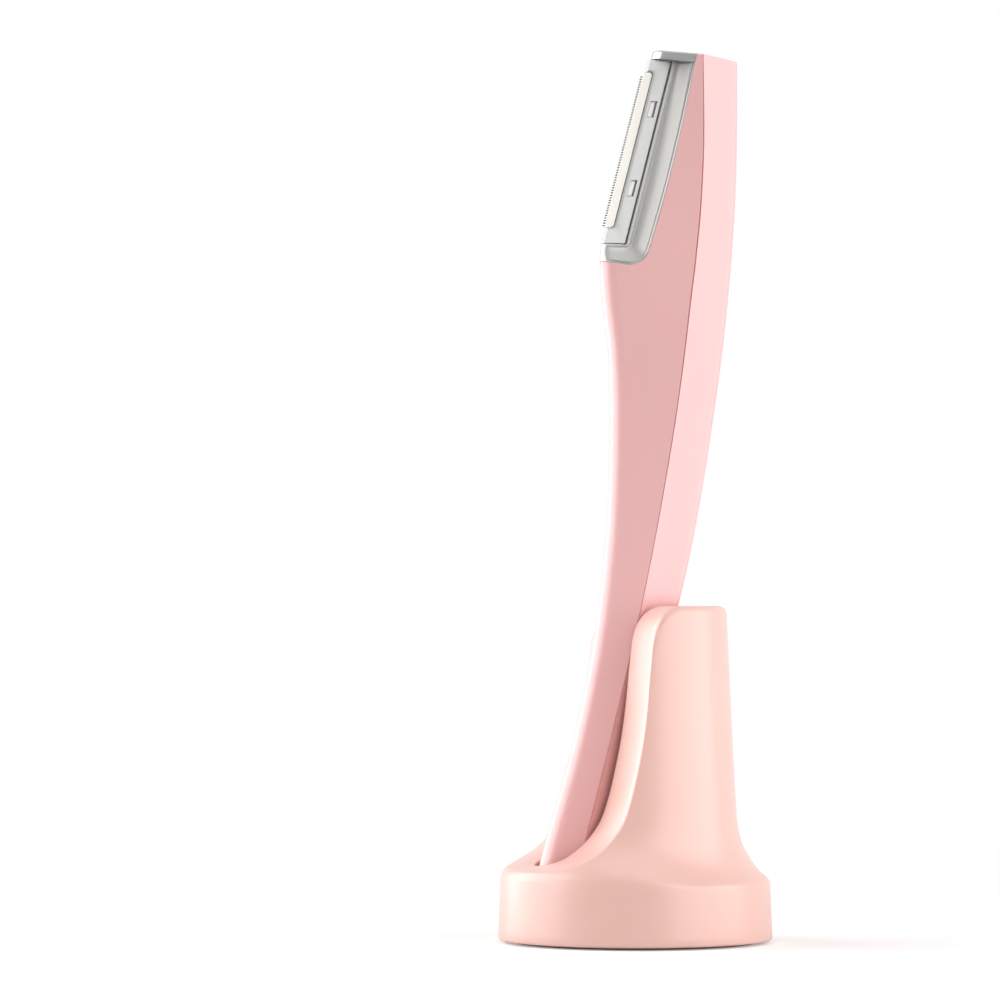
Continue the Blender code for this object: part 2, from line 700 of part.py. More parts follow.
def build_button(pink_dark):
    """Button cap with the plunger that meets the switch."""
    cap = obround(BUTTON_LENGTH, BUTTON_WIDTH)
    crown = obround(BUTTON_LENGTH - 0.8, BUTTON_WIDTH - 0.8)
    stem = obround(2.4, 1.8)
    rows = ((stem, 1.75), (stem, 1.2), (cap, 1.2), (cap, -BUTTON_STAND + 0.4), (crown, -BUTTON_STAND))
    rings = [[(-depth, b, a) for a, b in outline] for outline, depth in rows]
    origin = Matrix.Rotation(SPINE_TILT, 4, "Y") @ Vector((-1.0, 0.0, 0.0)) + Vector(SPINE_ORIGIN)
    shape = framed(loft(rings), SPINE_ORIGIN, SPINE_TILT)
    return [new_object("power_button", shape, pink_dark, origin)]


def build_electronics(white, green, silver, black, clear, glow):
    """Chassis, battery, board and what the board carries."""
    chassis = new_object("inner_chassis", spine_block((4.2, -3.35, -18.0), (5.1, 3.35, 18.0)), white)
    for name, side in (("chassis_left", 1), ("chassis_right", -1)):
        near, far = sorted((side * 2.7, side * 3.2))
        rail = spine_block((4.6, near, -17.0), (9.0, far, 17.0))
        cut(chassis, new_object(name, rail), "UNION")
    battery = new_object("battery_cell", spine_block((5.5, -2.4, -16.5), (13.2, 2.4, 16.5)), silver)
    edge = battery.modifiers.new("soft_edges", "BEVEL")
    edge.width = 0.8 * MM
    edge.segments = 2
    board = new_object("circuit_board", spine_block((3.1, -3.0, -17.0), (3.8, 3.0, 17.0)), green)
    switch = new_object("tactile_switch", spine_block((2.35, -1.5, -1.5), (2.8, 1.5, 1.5)), black)
    lens = spine_post(obround(2 * LENS_RADIUS + 0.001, 2 * LENS_RADIUS), 1.9, 0.05, LENS_PLACE)
    window = new_object("indicator_lens", lens, clear)
    led = new_object("indicator_led", spine_block((2.3, -0.8, LENS_PLACE - 0.5),
                                                  (2.8, 0.8, LENS_PLACE + 0.5)), glow)
    return [chassis, battery, board, switch, window, led]


# Charging socket and leads

def socket_frame():
    """Place and lean of the socket: the middle of the wand's foot."""
    lean = atan2(POCKET_LEAN, 1.0)
    middle = (wand_front(8.0) + wand_spine(8.0)) / 2
    return (middle - 0.55, 0.0, WAND_FOOT), lean


def socket_cutter(name):
    origin, tilt = socket_frame()
    outline = obround(SOCKET_LENGTH + 0.6, SOCKET_WIDTH + 0.6)
    return new_object(name, framed(loft([[(x, y, z) for x, y in outline] for z in (-5.0, 4.0)]),
                                   origin, tilt))


def build_socket(silver):
    origin, tilt = socket_frame()
    outline = obround(SOCKET_LENGTH, SOCKET_WIDTH)
    body = loft([[(x, y, z) for x, y in outline] for z in (SOCKET_LOW, SOCKET_HIGH)])
    piece = new_object("charge_socket", framed(body, origin, tilt), silver)
    mouth = obround(SOCKET_LENGTH - 0.8, SOCKET_WIDTH - 0.8)
    well = loft([[(x, y, z) for x, y in mouth] for z in (-1.0, SOCKET_HIGH - 1.1)])
    cut(piece, new_object("socket_well", framed(well, origin, tilt)))
    return [piece]


def lead(name, route, radius, finish):
    """Insulated wire along a smooth route."""
    curve = bpy.data.curves.new(name, "CURVE")
    curve.dimensions = "3D"
    curve.bevel_depth = radius * MM
    curve.bevel_resolution = 1
    curve.use_fill_caps = True
    path = curve.splines.new("POLY")
    points = smooth_route(route, 4)
    path.points.add(len(points) - 1)
    for spot, point in zip(path.points, points):
        spot.co = (*(point * MM), 1.0)
    made = bpy.data.objects.new(name, curve)
    bpy.context.scene.collection.objects.link(made)
    curve.materials.append(finish)
    return made


def smooth_route(route, steps):
    """Catmull-Rom points through a route."""
    knots = [Vector(point) for point in route]
    ends = [2 * knots[0] - knots[1]] + knots + [2 * knots[-1] - knots[-2]]
    points = []
    for a, b, c, d in zip(ends, ends[1:], ends[2:], ends[3:]):
        for k in range(steps):
            t = k / steps
            points.append(0.5 * (2 * b + (c - a) * t + (2 * a - 5 * b + 4 * c - d) * t ** 2
                                 + (3 * b - a - 3 * c + d) * t ** 3))
    return points + [knots[-1]]


def spine_spot(depth, width, place):
    """Point in the spine's frame."""
    turn = Matrix.Rotation(SPINE_TILT, 4, "Y")
    return turn @ Vector((-depth, width, place)) + Vector(SPINE_ORIGIN)


def head_spot(depth, width, place):
    """Point in the head's frame."""
    origin, tilt = head_frame()
    return Matrix.Rotation(tilt, 4, "Y") @ Vector((depth, width, place)) + Vector(origin)


def build_leads(red, black):
    """Wires between socket, board, battery and motor."""
    pieces = []
    origin, tilt = socket_frame()
    start = Matrix.Rotation(tilt, 4, "Y") @ Vector((0.0, 0.0, SOCKET_HIGH + 0.3)) + Vector(origin)
    for colour, finish, side in (("red", red, 1), ("black", black, -1)):
        low = start + Vector((0.0, side * 0.9, 0.0))
        route = [low, low + Vector((0.8, 0.0, 3.0)), (-7.6, side * 0.9, 35.0), (-1.8, side * 0.9, 55.0),
                 (3.6, side * 0.9, 72.0), spine_spot(3.9, side * 0.9, -19.4),
                 spine_spot(3.45, side * 0.9, -17.35)]
        pieces.append(lead("charge_lead_" + colour, route, 0.4, finish))
        route = [spine_spot(9.0, side * 1.2, 16.8), spine_spot(8.4, side * 1.2, 18.6),
                 spine_spot(5.6, side * 2.0, 19.4), spine_spot(3.8, side * 2.2, 18.8),
                 spine_spot(3.45, side * 2.2, 17.35)]
        pieces.append(lead("battery_lead_" + colour, route, 0.35, finish))
        route = [spine_spot(3.45, side * 0.7, 17.35), spine_spot(3.6, side * 0.7, 20.0),
                 head_spot(MOTOR_DEPTH + 0.3, side * 0.9, MOTOR_LOW - 2.4),
                 head_spot(MOTOR_DEPTH, side * 1.2, MOTOR_LOW - 0.35)]
        pieces.append(lead("motor_lead_" + colour, route, 0.35, finish))
    return pieces


# Stand

def between(points, place):
    """Value at one place of a chain of (place, value) points."""
    for (a, low), (b, high) in zip(points, points[1:]):
        if place <= b:
            return low + (high - low) * (place - a) / (b - a)
    return points[-1][1]


def flare_lift(azimuth):
    """How much higher the flare starts on this side of the stand."""
    share = min(max((0.2 - cos(azimuth)) / 0.8, 0.0), 1.0)
    return FLARE_LIFT * share * share * (3 - 2 * share)


def stand_radius(z, azimuth=0.0):
    """Outer radius of the stand at one height on one side."""
    (low, foot), (edge, waist) = STAND_PROFILE[:2]
    taper = (waist - foot) / (edge - low)
    lift = flare_lift(azimuth)
    if z <= edge + lift:
        return foot + taper * (z - low)
    return between(STAND_PROFILE, z - lift) + taper * lift


def rim_places():
    """Azimuth and height of the stand's upper edge, from the back round to the front."""
    places = [(radians(6.0 * k), STAND_TOP) for k in range(14)]
    for x, z in reversed(SCOOP[1:]):
        azimuth = pi / 2
        for _ in range(8):
            azimuth = acos(x / stand_radius(z, azimuth))
        places.append((azimuth, z))
    start = places[-1][0]
    for k in range(1, 6):
        azimuth = start + (pi - start) * k / 5
        z = SCOOP[1][1]
        for _ in range(4):
            z = between(SCOOP, stand_radius(z, azimuth) * cos(azimuth))
        places.append((azimuth, z))
    return places


def rounded(corner, one, two, radius, steps):
    """Points of the arc that rounds a corner between two directions."""
    half = one.angle(two) / 2
    centre = corner + (one + two).normalized() * radius / sin(half)
    first = (corner + one * radius / tan(half) - centre).normalized()
    last = (corner + two * radius / tan(half) - centre).normalized()
    return [centre + first.slerp(last, k / steps) * radius for k in range(steps + 1)]


def stand_columns():
    """Columns of points up the stand's side and over its rounded rim, from back to front."""
    places = rim_places()

    def side_point(azimuth, z):
        radius = stand_radius(z, azimuth)
        return Vector((radius * cos(azimuth), radius * sin(azimuth), z))

    rim = [side_point(azimuth, z) for azimuth, z in places]
    shares = [(z - FLARE_START) / (STAND_TOP - FLARE_START) for z, r in STAND_PROFILE[1:]]
    columns = []
    for k, (azimuth, z) in enumerate(places):
        ahead = rim[min(k + 1, len(rim) - 1)]
        behind = rim[max(k - 1, 0)]
        run = ahead - behind
        if k in (0, len(rim) - 1):
            run = Vector((0.0, run.y, 0.0))
        slope = Vector((1.0, 0.0, 0.0))
        if z < STAND_TOP and abs(ahead.x - behind.x) > 0.01:
            slope = Vector((ahead.x - behind.x, 0.0, ahead.z - behind.z)).normalized()
        inward = slope.cross(Vector((0.0, 1.0, 0.0))).cross(run).normalized()
        if inward.dot(rim[k]) > 0:
            inward.negate()
        down = (side_point(azimuth, z - 1.0) - rim[k]).normalized()
        arc = rounded(rim[k], down, inward, RIM_RADIUS, 3)
        start = min(FLARE_START + flare_lift(azimuth), arc[0].z - 0.3)
        column = [side_point(azimuth, STAND_PROFILE[0][0])]
        for share in shares[:-1]:
            column.append(side_point(azimuth, start + (arc[0].z - start) * share))
        columns.append(column + arc)
    return columns


def stand_shape():
    """Outer form of the stand, with the scooped face drawn straight across between its rims."""
    columns = stand_columns()
    shape = bmesh.new()
    right = [[shape.verts.new(point) for point in column] for column in columns]
    left = [right[0]]
    for column in columns[1:-1]:
        left.append([shape.verts.new((point.x, -point.y, point.z)) for point in column])
    left.append(right[-1])
    for half in (right, left):
        for one, two in zip(half, half[1:]):
            for k in range(len(one) - 1):
                shape.faces.new((one[k], two[k], two[k + 1], one[k + 1]))
    for k in range(len(right) - 1):
        corners = [right[k][-1], right[k + 1][-1], left[k + 1][-1], left[k][-1]]
        shape.faces.new(list(dict.fromkeys(corners)))
    shape.faces.new([column[0] for column in right] + [column[0] for column in left[-2:0:-1]])
    return shape


def pocket_solid(floor, top):
    """The straight leaning channel that the wand stands in."""
    rings = []
    for z in (floor, top):
        share = (z - POCKET_FLOOR) / (70.0 - POCKET_FLOOR)
        half = POCKET_HALF_LOW + (POCKET_HALF_HIGH - POCKET_HALF_LOW) * share
        back = POCKET_BACK + POCKET_LEAN * z
        front = POCKET_FRONT + POCKET_LEAN * z
        corner = min(half - 0.4, 4.4)
        rear_corner = 2.5
        ring = []
        for cx, cy, r, start in ((back - rear_corner, -half + rear_corner, rear_corner, -90),
                                 (back - rear_corner, half - rear_corner, rear_corner, 0),
                                 (front + corner, half - corner, corner, 90),
                                 (front + corner, -half + corner, corner, 180)):
            for k in range(5):
                turn = radians(start + 90 * k / 4)
                ring.append((cx + r * cos(turn), cy + r * sin(turn), z))
        rings.append(ring)
    return loft(rings)


def build_tower_and_foot(peach):
    """The two mouldings of the stand, which meet at the crease, with the pocket in both."""
    pocket = new_object("pocket", pocket_solid(POCKET_FLOOR, 75.0))
    tower = new_object("stand_body", stand_shape(), peach)
    cut(tower, pocket)
    cut(tower, new_object("below_tower", block((-40, -40, -5), (40, 40, STAND_SPLIT + 0.15))))
    foot = new_object("stand_foot", stand_shape(), peach)
    cut(foot, pocket)
    cut(foot, new_object("above_foot", block((-40, -40, STAND_SPLIT - 0.15), (40, 40, 90))))
    edge = PLATE_RADIUS + 0.3
    cut(foot, new_object("plate_recess", turned(((-2.0, edge), (PLATE_HIGH + 0.3, edge)), 40)))
    edge = WEIGHT_OUTER + 0.3
    recess = new_object("weight_recess",
                        turned(((PLATE_HIGH - 0.6, edge), (WEIGHT_TOP + 0.3, edge)), 40))
    cut(recess, new_object("recess_front", block((-40, -40, -5), (WEIGHT_FRONT - 0.3, 40, 40))))
    cut(recess, new_object("recess_boss", rod(BOSS_RADIUS, -5, 40, 16, (BOSS_CIRCLE, 0.0))))
    cut(foot, recess)
    return tower, foot


def build_stand(peach, white, steel, rubber):
    """The stand's mouldings, and the plate, weight, pad and screws of its base."""
    tower, foot = build_tower_and_foot(peach)
    plate = new_object("base_plate", turned(((PLATE_LOW, PLATE_RADIUS), (PLATE_HIGH, PLATE_RADIUS)), 40),
                       white)
    screws = []
    for k, angle in enumerate(BOSS_ANGLES):
        x, y = BOSS_CIRCLE * cos(radians(angle)), BOSS_CIRCLE * sin(radians(angle))
        hole = new_object("screw_hole_%d" % (k + 1), rod(1.1, 1.0, 15.0, 12, (x, y)))
        cut(tower, hole)
        cut(foot, hole)
        cut(plate, new_object("plate_hole_%d" % (k + 1), rod(1.3, 0.0, 5.0, 12, (x, y))))
        sink = turned(((1.0, 2.6), (PLATE_LOW + 1.2, 2.6)), 16)
        bmesh.ops.translate(sink, vec=(x, y, 0.0), verts=sink.verts)
        cut(plate, new_object("plate_sink_%d" % (k + 1), sink))
        screw = screw_shape(0.9, BASE_SCREW_LENGTH, 2.2, 0.9)
        turn = Matrix.Translation((x, y, PLATE_LOW + 1.0)) @ Matrix.Rotation(pi, 4, "X")
        bmesh.ops.transform(screw, matrix=turn, verts=screw.verts)
        screws.append(new_object("base_screw_%d" % (k + 1), screw, steel))

    slug = turned(((PLATE_HIGH + 0.3, WEIGHT_OUTER), (WEIGHT_TOP, WEIGHT_OUTER)), 40)
    weight = new_object("stand_weight", slug, steel)
    cut(weight, new_object("weight_front", block((-40, -40, -5), (WEIGHT_FRONT, 40, 40))))
    cut(weight, new_object("weight_notch", rod(BOSS_RADIUS + 0.3, -5, 40, 16, (BOSS_CIRCLE, 0.0))))
    pad = new_object("anti_slip_pad", turned(((0.0, PAD_RADIUS - 0.4), (0.3, PAD_RADIUS),
                                              (PAD_TOP, PAD_RADIUS)), 40), rubber)
    return [tower, foot, plate, weight, pad] + screws


def shade_round(piece):
    """Smooth shading with creases kept on edges over 35 degrees."""
    if piece.type == "MESH":
        piece.data.shade_smooth()
        piece.data.set_sharp_from_angle(angle=radians(35))


def build():
    clear_scene()
    pink = finish_material("pink_plastic", (0.80, 0.50, 0.49), 0.42)
    button_pink = finish_material("button_pink", (0.76, 0.44, 0.43), 0.5)
    peach = finish_material("stand_plastic", (0.85, 0.58, 0.50), 0.45)
    silver = finish_material("satin_silver", (0.62, 0.63, 0.62), 0.3, 0.9)
    cream = finish_material("coated_blade", (0.90, 0.86, 0.78), 0.4)
    steel = finish_material("steel", (0.55, 0.56, 0.57), 0.35, 1.0)
    white = finish_material("white_plastic", (0.85, 0.85, 0.83), 0.5)
    rubber = finish_material("grey_rubber", (0.12, 0.12, 0.12), 0.8)
    brass = finish_material("brass", (0.70, 0.55, 0.28), 0.35, 1.0)
    green = finish_material("board_green", (0.03, 0.22, 0.10), 0.5)
    black = finish_material("black_plastic", (0.03, 0.03, 0.03), 0.5)
    red = finish_material("red_insulation", (0.55, 0.03, 0.03), 0.5)
    clear = finish_material("lens_plastic", (0.92, 0.92, 0.90), 0.2)
    glow = finish_material("led_body", (0.90, 0.88, 0.70), 0.3)

    wand = joint_point("wand_lift", ((wand_front(8.0) + wand_spine(8.0)) / 2, 0.0, WAND_FOOT))
    fixed = build_shells(pink)
    fixed += build_nosepiece(silver)
    fixed += build_electronics(white, green, silver, black, clear, glow)
    fixed += build_socket(silver)
    fixed += build_leads(red, black)
    motor_fixed, rotor = build_motor(white, steel, rubber, brass)
    button = build_button(button_pink)
    cartridge = build_cartridge(silver, cream, steel)
    for piece in fixed + motor_fixed + rotor + button + cartridge:
        set_parent(piece, wand)
    stand = build_stand(peach, white, steel, rubber)
    for piece in stand + fixed + motor_fixed + rotor + button + cartridge:
        shade_round(piece)


build()
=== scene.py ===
"""Electric dermaplaning wand standing in its weighted holder.

The wand's shells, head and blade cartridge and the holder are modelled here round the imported
parts. Sizes are in millimetres and are turned into metres when a piece is finished.
"""

from math import acos, atan, atan2, cos, exp, hypot, pi, radians, sin, sqrt, tan

import bmesh
import bpy
from mathutils import Matrix, Vector


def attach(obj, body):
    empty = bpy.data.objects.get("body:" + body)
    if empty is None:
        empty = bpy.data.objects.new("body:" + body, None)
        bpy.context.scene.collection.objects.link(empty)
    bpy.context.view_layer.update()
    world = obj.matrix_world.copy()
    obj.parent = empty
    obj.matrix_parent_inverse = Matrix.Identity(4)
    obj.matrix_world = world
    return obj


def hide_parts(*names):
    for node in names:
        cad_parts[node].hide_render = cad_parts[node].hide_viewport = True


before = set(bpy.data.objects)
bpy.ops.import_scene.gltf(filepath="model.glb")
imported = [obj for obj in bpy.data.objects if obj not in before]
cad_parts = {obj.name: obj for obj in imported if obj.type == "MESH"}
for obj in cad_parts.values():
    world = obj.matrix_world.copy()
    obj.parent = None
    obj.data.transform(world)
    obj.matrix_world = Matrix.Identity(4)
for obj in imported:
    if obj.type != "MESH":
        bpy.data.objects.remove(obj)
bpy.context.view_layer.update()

# Studio. A white tabletop and white surroundings, with a tall softbox on each side of the
# object and a weak one overhead. The camera is a long lens a metre away, at bench height.

VIEW_TURN = radians(20.0)
VIEW_DISTANCE = 0.9434
VIEW_HEIGHT = 0.06377
LENS_PIXELS = 5000
AXIS_PIXELS_RIGHT = 135
HEIGHT_PIXELS_DOWN = 103
SOFTBOX_AIM = 0.085
TABLE_RADIUS = 0.4
TABLE_DROP = 0.00005
TABLE_FADE = (0.09, 0.26)
WHITE = (1.0, 1.0, 1.0, 1.0)

camera = bpy.data.objects.new("camera", bpy.data.cameras.new("camera"))
camera.data.lens = 180.0
camera.data.sensor_width = 36.0
camera.data.clip_start = 0.05
camera.data.clip_end = 20.0
camera.location = (-sin(VIEW_TURN) * VIEW_DISTANCE, -cos(VIEW_TURN) * VIEW_DISTANCE, VIEW_HEIGHT)
camera.rotation_euler = (pi / 2 + atan(HEIGHT_PIXELS_DOWN / LENS_PIXELS), 0.0,
                         -VIEW_TURN + atan(AXIS_PIXELS_RIGHT / LENS_PIXELS))
bpy.context.scene.collection.objects.link(camera)
bpy.context.scene.camera = camera
bpy.context.scene.view_settings.view_transform = "Standard"


def softbox(name, azimuth, distance, height, width, tall, power):
    """Area light at an azimuth from the camera's side, turned to the middle of the wand."""
    turn = azimuth - VIEW_TURN
    place = Vector((sin(turn) * distance, -cos(turn) * distance, height))
    lamp = bpy.data.lights.new(name, "AREA")
    lamp.shape = "RECTANGLE"
    lamp.size, lamp.size_y, lamp.energy = width, tall, power
    made = bpy.data.objects.new(name, lamp)
    made.location = place
    made.rotation_euler = (Vector((0, 0, SOFTBOX_AIM)) - place).to_track_quat("-Z", "Y").to_euler()
    bpy.context.scene.collection.objects.link(made)


softbox("left_softbox", radians(-98), 0.70, 0.22, 1.10, 0.90, 10.8)
softbox("right_softbox", radians(66), 0.70, 0.24, 1.10, 0.90, 8.0)
softbox("top_softbox", radians(10), 0.20, 0.75, 0.60, 0.60, 1.2)


def set_inputs(tree, node, values):
    """Sets a node's inputs to values, or links them to sockets."""
    for label, value in values.items():
        if isinstance(value, bpy.types.NodeSocket):
            tree.links.new(value, node.inputs[label])
        else:
            node.inputs[label].default_value = value
    return node


def new_node(tree, kind, values, **settings):
    """Adds a node with its settings and inputs."""
    node = tree.nodes.new("ShaderNode" + kind)
    for label, value in settings.items():
        setattr(node, label, value)
    return set_inputs(tree, node, values)


def math_node(tree, operation, one, two):
    """Result of a math node between sockets or numbers."""
    return new_node(tree, "Math", {0: one, 1: two}, operation=operation).outputs[0]


world = bpy.data.worlds.new("studio")
world.use_nodes = True
bpy.context.scene.world = world
tree = world.node_tree
tree.nodes.clear()
rays = new_node(tree, "LightPath", {}).outputs
mirrored = math_node(tree, "MAXIMUM", rays["Is Glossy Ray"], rays["Is Transmission Ray"])
seen = math_node(tree, "MAXIMUM", rays["Is Camera Ray"], mirrored)
fill = new_node(tree, "Background", {"Color": (1.0, 0.99, 0.98, 1.0), "Strength": 0.09})
white = new_node(tree, "Background", {"Color": WHITE, "Strength": 1.0})
pick = new_node(tree, "MixShader", {"Fac": seen, 1: fill.outputs[0], 2: white.outputs[0]})
new_node(tree, "OutputWorld", {"Surface": pick.outputs[0]})

table_shape = bmesh.new()
bmesh.ops.create_circle(table_shape, cap_ends=True, segments=96, radius=TABLE_RADIUS,
                        matrix=Matrix.Translation((0.0, 0.0, -TABLE_DROP)))
table_mesh = bpy.data.meshes.new("tabletop")
table_shape.to_mesh(table_mesh)
table_shape.free()
table = bpy.data.objects.new("tabletop", table_mesh)
bpy.context.scene.collection.objects.link(table)
tabletop_white = bpy.data.materials.new("tabletop_white")
tabletop_white.use_nodes = True
tree = tabletop_white.node_tree
seen = new_node(tree, "LightPath", {}).outputs["Is Camera Ray"]
place = new_node(tree, "TexCoord", {}).outputs["Object"]
reach = new_node(tree, "VectorMath", {0: place}, operation="LENGTH").outputs["Value"]
edge = new_node(tree, "MapRange", {"Value": reach, "From Min": TABLE_FADE[0], "From Max": TABLE_FADE[1],
                                   "To Min": 1.0, "To Max": 0.0}, interpolation_type="SMOOTHSTEP")
set_inputs(tree, tree.nodes["Principled BSDF"], {
    "Base Color": (0.86, 0.86, 0.86, 1.0), "Roughness": 0.9, "Specular IOR Level": 0.1,
    "Emission Color": WHITE, "Emission Strength": math_node(tree, "MULTIPLY", seen, 0.30),
    "Alpha": edge.outputs["Result"]})
table_mesh.materials.append(tabletop_white)


# Holder body. Two mouldings in peach pink plastic that meet at the crease and are finished as
# one: a straight-sided foot, and a round tower that is scooped out at the front and has a
# leaning pocket for the wand. The rim is rolled over, and the surface is mould satin.

MM = 0.001
STAND_FOOT = 0.5
STAND_TOP = 63.2
FOOT_ROUND = 0.5
FOOT_RADIUS = 25.85
FLARE_START = 11.5
FLARE_LIFT = 2.2
FLARE_HEIGHTS = (11.5, 12.3, 13.4, 14.5, 15.7, 17.0, 19.0, 22.0, 26.6, 34.0, 45.5, 59.0, 63.2)
FLARE_RADII = (25.4, 24.6, 23.4, 22.45, 21.65, 20.85, 20.0, 19.35, 18.95, 18.55, 18.0, 17.4, 17.22)
RIM_ROUND = 1.6
SCOOP_HEIGHTS = (13.6, 14.2, 15.2, 16.5, 18.4, 20.8, 23.7, 27.9, 32.0, 38.4, 44.0, 52.0, 57.0, 59.4,
                 61.2, 62.5, 63.2)
SCOOP_DEPTHS = (-40.0, -21.6, -18.0, -15.1, -12.6, -10.4, -8.6, -7.2, -6.2, -4.9, -4.1, -3.3, -2.7,
                -2.0, -0.9, 0.6, 2.2)
SCOOP_EASE = 0.8
SCOOP_REACH = 30.0
POCKET_LEAN = 0.287
POCKET_BACK = -9.7
POCKET_FRONT = -23.6
POCKET_FLOOR = 5.2
POCKET_HALF = 5.0
POCKET_WIDENING = 0.95
POCKET_CEILING = 70.0
POCKET_REAR = 2.5
POCKET_NOSE = 4.4
POCKET_TOP_BACK = 8.44
POCKET_TOP_SIDE = 7.2
POCKET_ROUND = 0.35
BACK_ROWS = 36
SIDE_ROWS = 101
FRONT_ROWS = 24


def along(heights, values, height):
    """Smooth curve through the stations, with no overshoot between them."""
    last = len(heights) - 1
    i = 0
    while i < last - 1 and height > heights[i + 1]:
        i += 1

    def slope(k):
        if k in (0, last):
            a, b = (0, 1) if k == 0 else (last - 1, last)
            return (values[b] - values[a]) / (heights[b] - heights[a])
        before = (values[k] - values[k - 1]) / (heights[k] - heights[k - 1])
        after = (values[k + 1] - values[k]) / (heights[k + 1] - heights[k])
        return 2 * before * after / (before + after) if before * after > 0 else 0.0

    span = heights[i + 1] - heights[i]
    t = (height - heights[i]) / span
    return ((2 * t ** 3 - 3 * t ** 2 + 1) * values[i] + (t ** 3 - 2 * t ** 2 + t) * span * slope(i)
            + (3 * t ** 2 - 2 * t ** 3) * values[i + 1] + (t ** 3 - t ** 2) * span * slope(i + 1))


def lay(shape, across, rows, place):
    """Adds a flat grid and moves each crossing to its place on the form."""
    made = bmesh.ops.create_grid(shape, x_segments=across, y_segments=rows, size=0.5)
    for spot in made["verts"]:
        spot.co = place(round((spot.co.x + 0.5) * across), round((spot.co.y + 0.5) * rows))


def both_sides(shape):
    """Adds the mirror image across the wand's middle plane and joins the two."""
    bmesh.ops.mirror(shape, geom=shape.verts[:] + shape.edges[:] + shape.faces[:],
                     matrix=Matrix.Identity(4), merge_dist=1e-4, axis="Y")


def smooth_shaded(mesh, crease):
    """Smooth shading with the edges over an angle kept crisp."""
    mesh.shade_smooth()
    if crease < 180.0:
        mesh.set_sharp_from_angle(angle=radians(crease))


def solid_object(name, shape):
    """Turns a shape in millimetres into an object in metres, with its faces outwards."""
    bmesh.ops.recalc_face_normals(shape, faces=shape.faces)
    bmesh.ops.scale(shape, vec=(MM, MM, MM), verts=shape.verts)
    mesh = bpy.data.meshes.new(name)
    shape.to_mesh(mesh)
    shape.free()
    piece = bpy.data.objects.new(name, mesh)
    bpy.context.scene.collection.objects.link(piece)
    return piece


def finished(name, shape, material, crease=180.0):
    """Closes a shape and makes it a smooth-shaded piece."""
    bmesh.ops.remove_doubles(shape, verts=shape.verts, dist=1e-4)
    bmesh.ops.dissolve_degenerate(shape, dist=1e-5, edges=shape.edges)
    piece = solid_object(name, shape)
    piece.data.materials.append(material)
    smooth_shaded(piece.data, crease)
    return piece


def carve(piece, shape, crease=40.0):
    """Cuts a shape out of a piece for good, together with the modifiers it has so far."""
    cutter = solid_object("cutter", shape)
    step = piece.modifiers.new("cut", "BOOLEAN")
    step.object = cutter
    step.operation = "DIFFERENCE"
    step.solver = "EXACT"
    graph = bpy.context.evaluated_depsgraph_get()
    carved = bpy.data.meshes.new_from_object(piece.evaluated_get(graph))
    piece.modifiers.clear()
    whole, cut_mesh = piece.data, cutter.data
    piece.data = carved
    welded = bmesh.new()
    welded.from_mesh(carved)
    bmesh.ops.remove_doubles(welded, verts=welded.verts, dist=0.001 * MM)
    bmesh.ops.recalc_face_normals(welded, faces=welded.faces)
    welded.to_mesh(carved)
    welded.free()
    bpy.data.objects.remove(cutter)
    for mesh in (whole, cut_mesh):
        bpy.data.meshes.remove(mesh)
    smooth_shaded(carved, crease)


def rod(shape, radius, low, high, centre, segments=32):
    """Adds an upright cylinder to a shape."""
    place = Matrix.Translation((centre[0], centre[1], (low + high) / 2))
    bmesh.ops.create_cone(shape, cap_ends=True, segments=segments, radius1=radius, radius2=radius,
                          depth=high - low, matrix=place)


def share_of(value):
    """A share kept between 0 and 1."""
    return min(max(value, 0.0), 1.0)


def eased(curve, at, reach):
    """A curve averaged over a reach to both sides, which rounds its corners."""
    return sum(curve(at + reach * t) for t in (-1, -0.5, 0, 0.5, 1)) / 5


def flare_lift(azimuth):
    """How much higher the flare starts on this side of the foot."""
    share = share_of((0.2 - cos(azimuth)) / 0.8)
    return FLARE_LIFT * share * share * (3 - 2 * share)


def turned_radius(z, azimuth):
    """Radius of the turned form, with the raised flare in front."""
    taper = (FLARE_RADII[0] - FOOT_RADIUS) / (FLARE_START - STAND_FOOT)
    up = flare_lift(azimuth)
    if z <= FLARE_START + up:
        return FOOT_RADIUS + taper * (z - STAND_FOOT)
    return along(FLARE_HEIGHTS, FLARE_RADII, min(z - up, STAND_TOP)) + taper * up


def stand_radius(z, azimuth):
    """Outer radius with the foot's upper edge eased, more so in front."""
    return eased(lambda height: turned_radius(height, azimuth), z, 0.2 + 0.6 * flare_lift(azimuth))


# The scooped face and the flat top as one line seen from the side, measured along its length
face_line = [(along(SCOOP_HEIGHTS, SCOOP_DEPTHS, z), z) for z in
             [13.6 + 0.1 * k for k in range(10)] + [14.6 + 0.3 * k for k in range(162)] + [STAND_TOP]]
face_line.append((25.0, STAND_TOP))
face_lengths = [0.0]
for (x1, z1), (x2, z2) in zip(face_line, face_line[1:]):
    face_lengths.append(face_lengths[-1] + hypot(x2 - x1, z2 - z1))


def on_face(length):
    """Depth and height of the scooped face at a length from its front, eased."""
    x = z = 0.0
    for t in (-1, -0.6, -0.2, 0.2, 0.6, 1):
        at = min(max(length + SCOOP_EASE * t, 0.0), face_lengths[-1])
        k = 0
        while k < len(face_lengths) - 2 and at > face_lengths[k + 1]:
            k += 1
        share = (at - face_lengths[k]) / (face_lengths[k + 1] - face_lengths[k])
        x += face_line[k][0] + share * (face_line[k + 1][0] - face_line[k][0])
        z += face_line[k][1] + share * (face_line[k + 1][1] - face_line[k][1])
    return x / 6, z / 6


def length_where(test, low, high):
    """Length between two others at which a rising test turns true."""
    for _ in range(26):
        middle = (low + high) / 2
        low, high = (low, middle) if test(*on_face(middle)) else (middle, high)
    return high


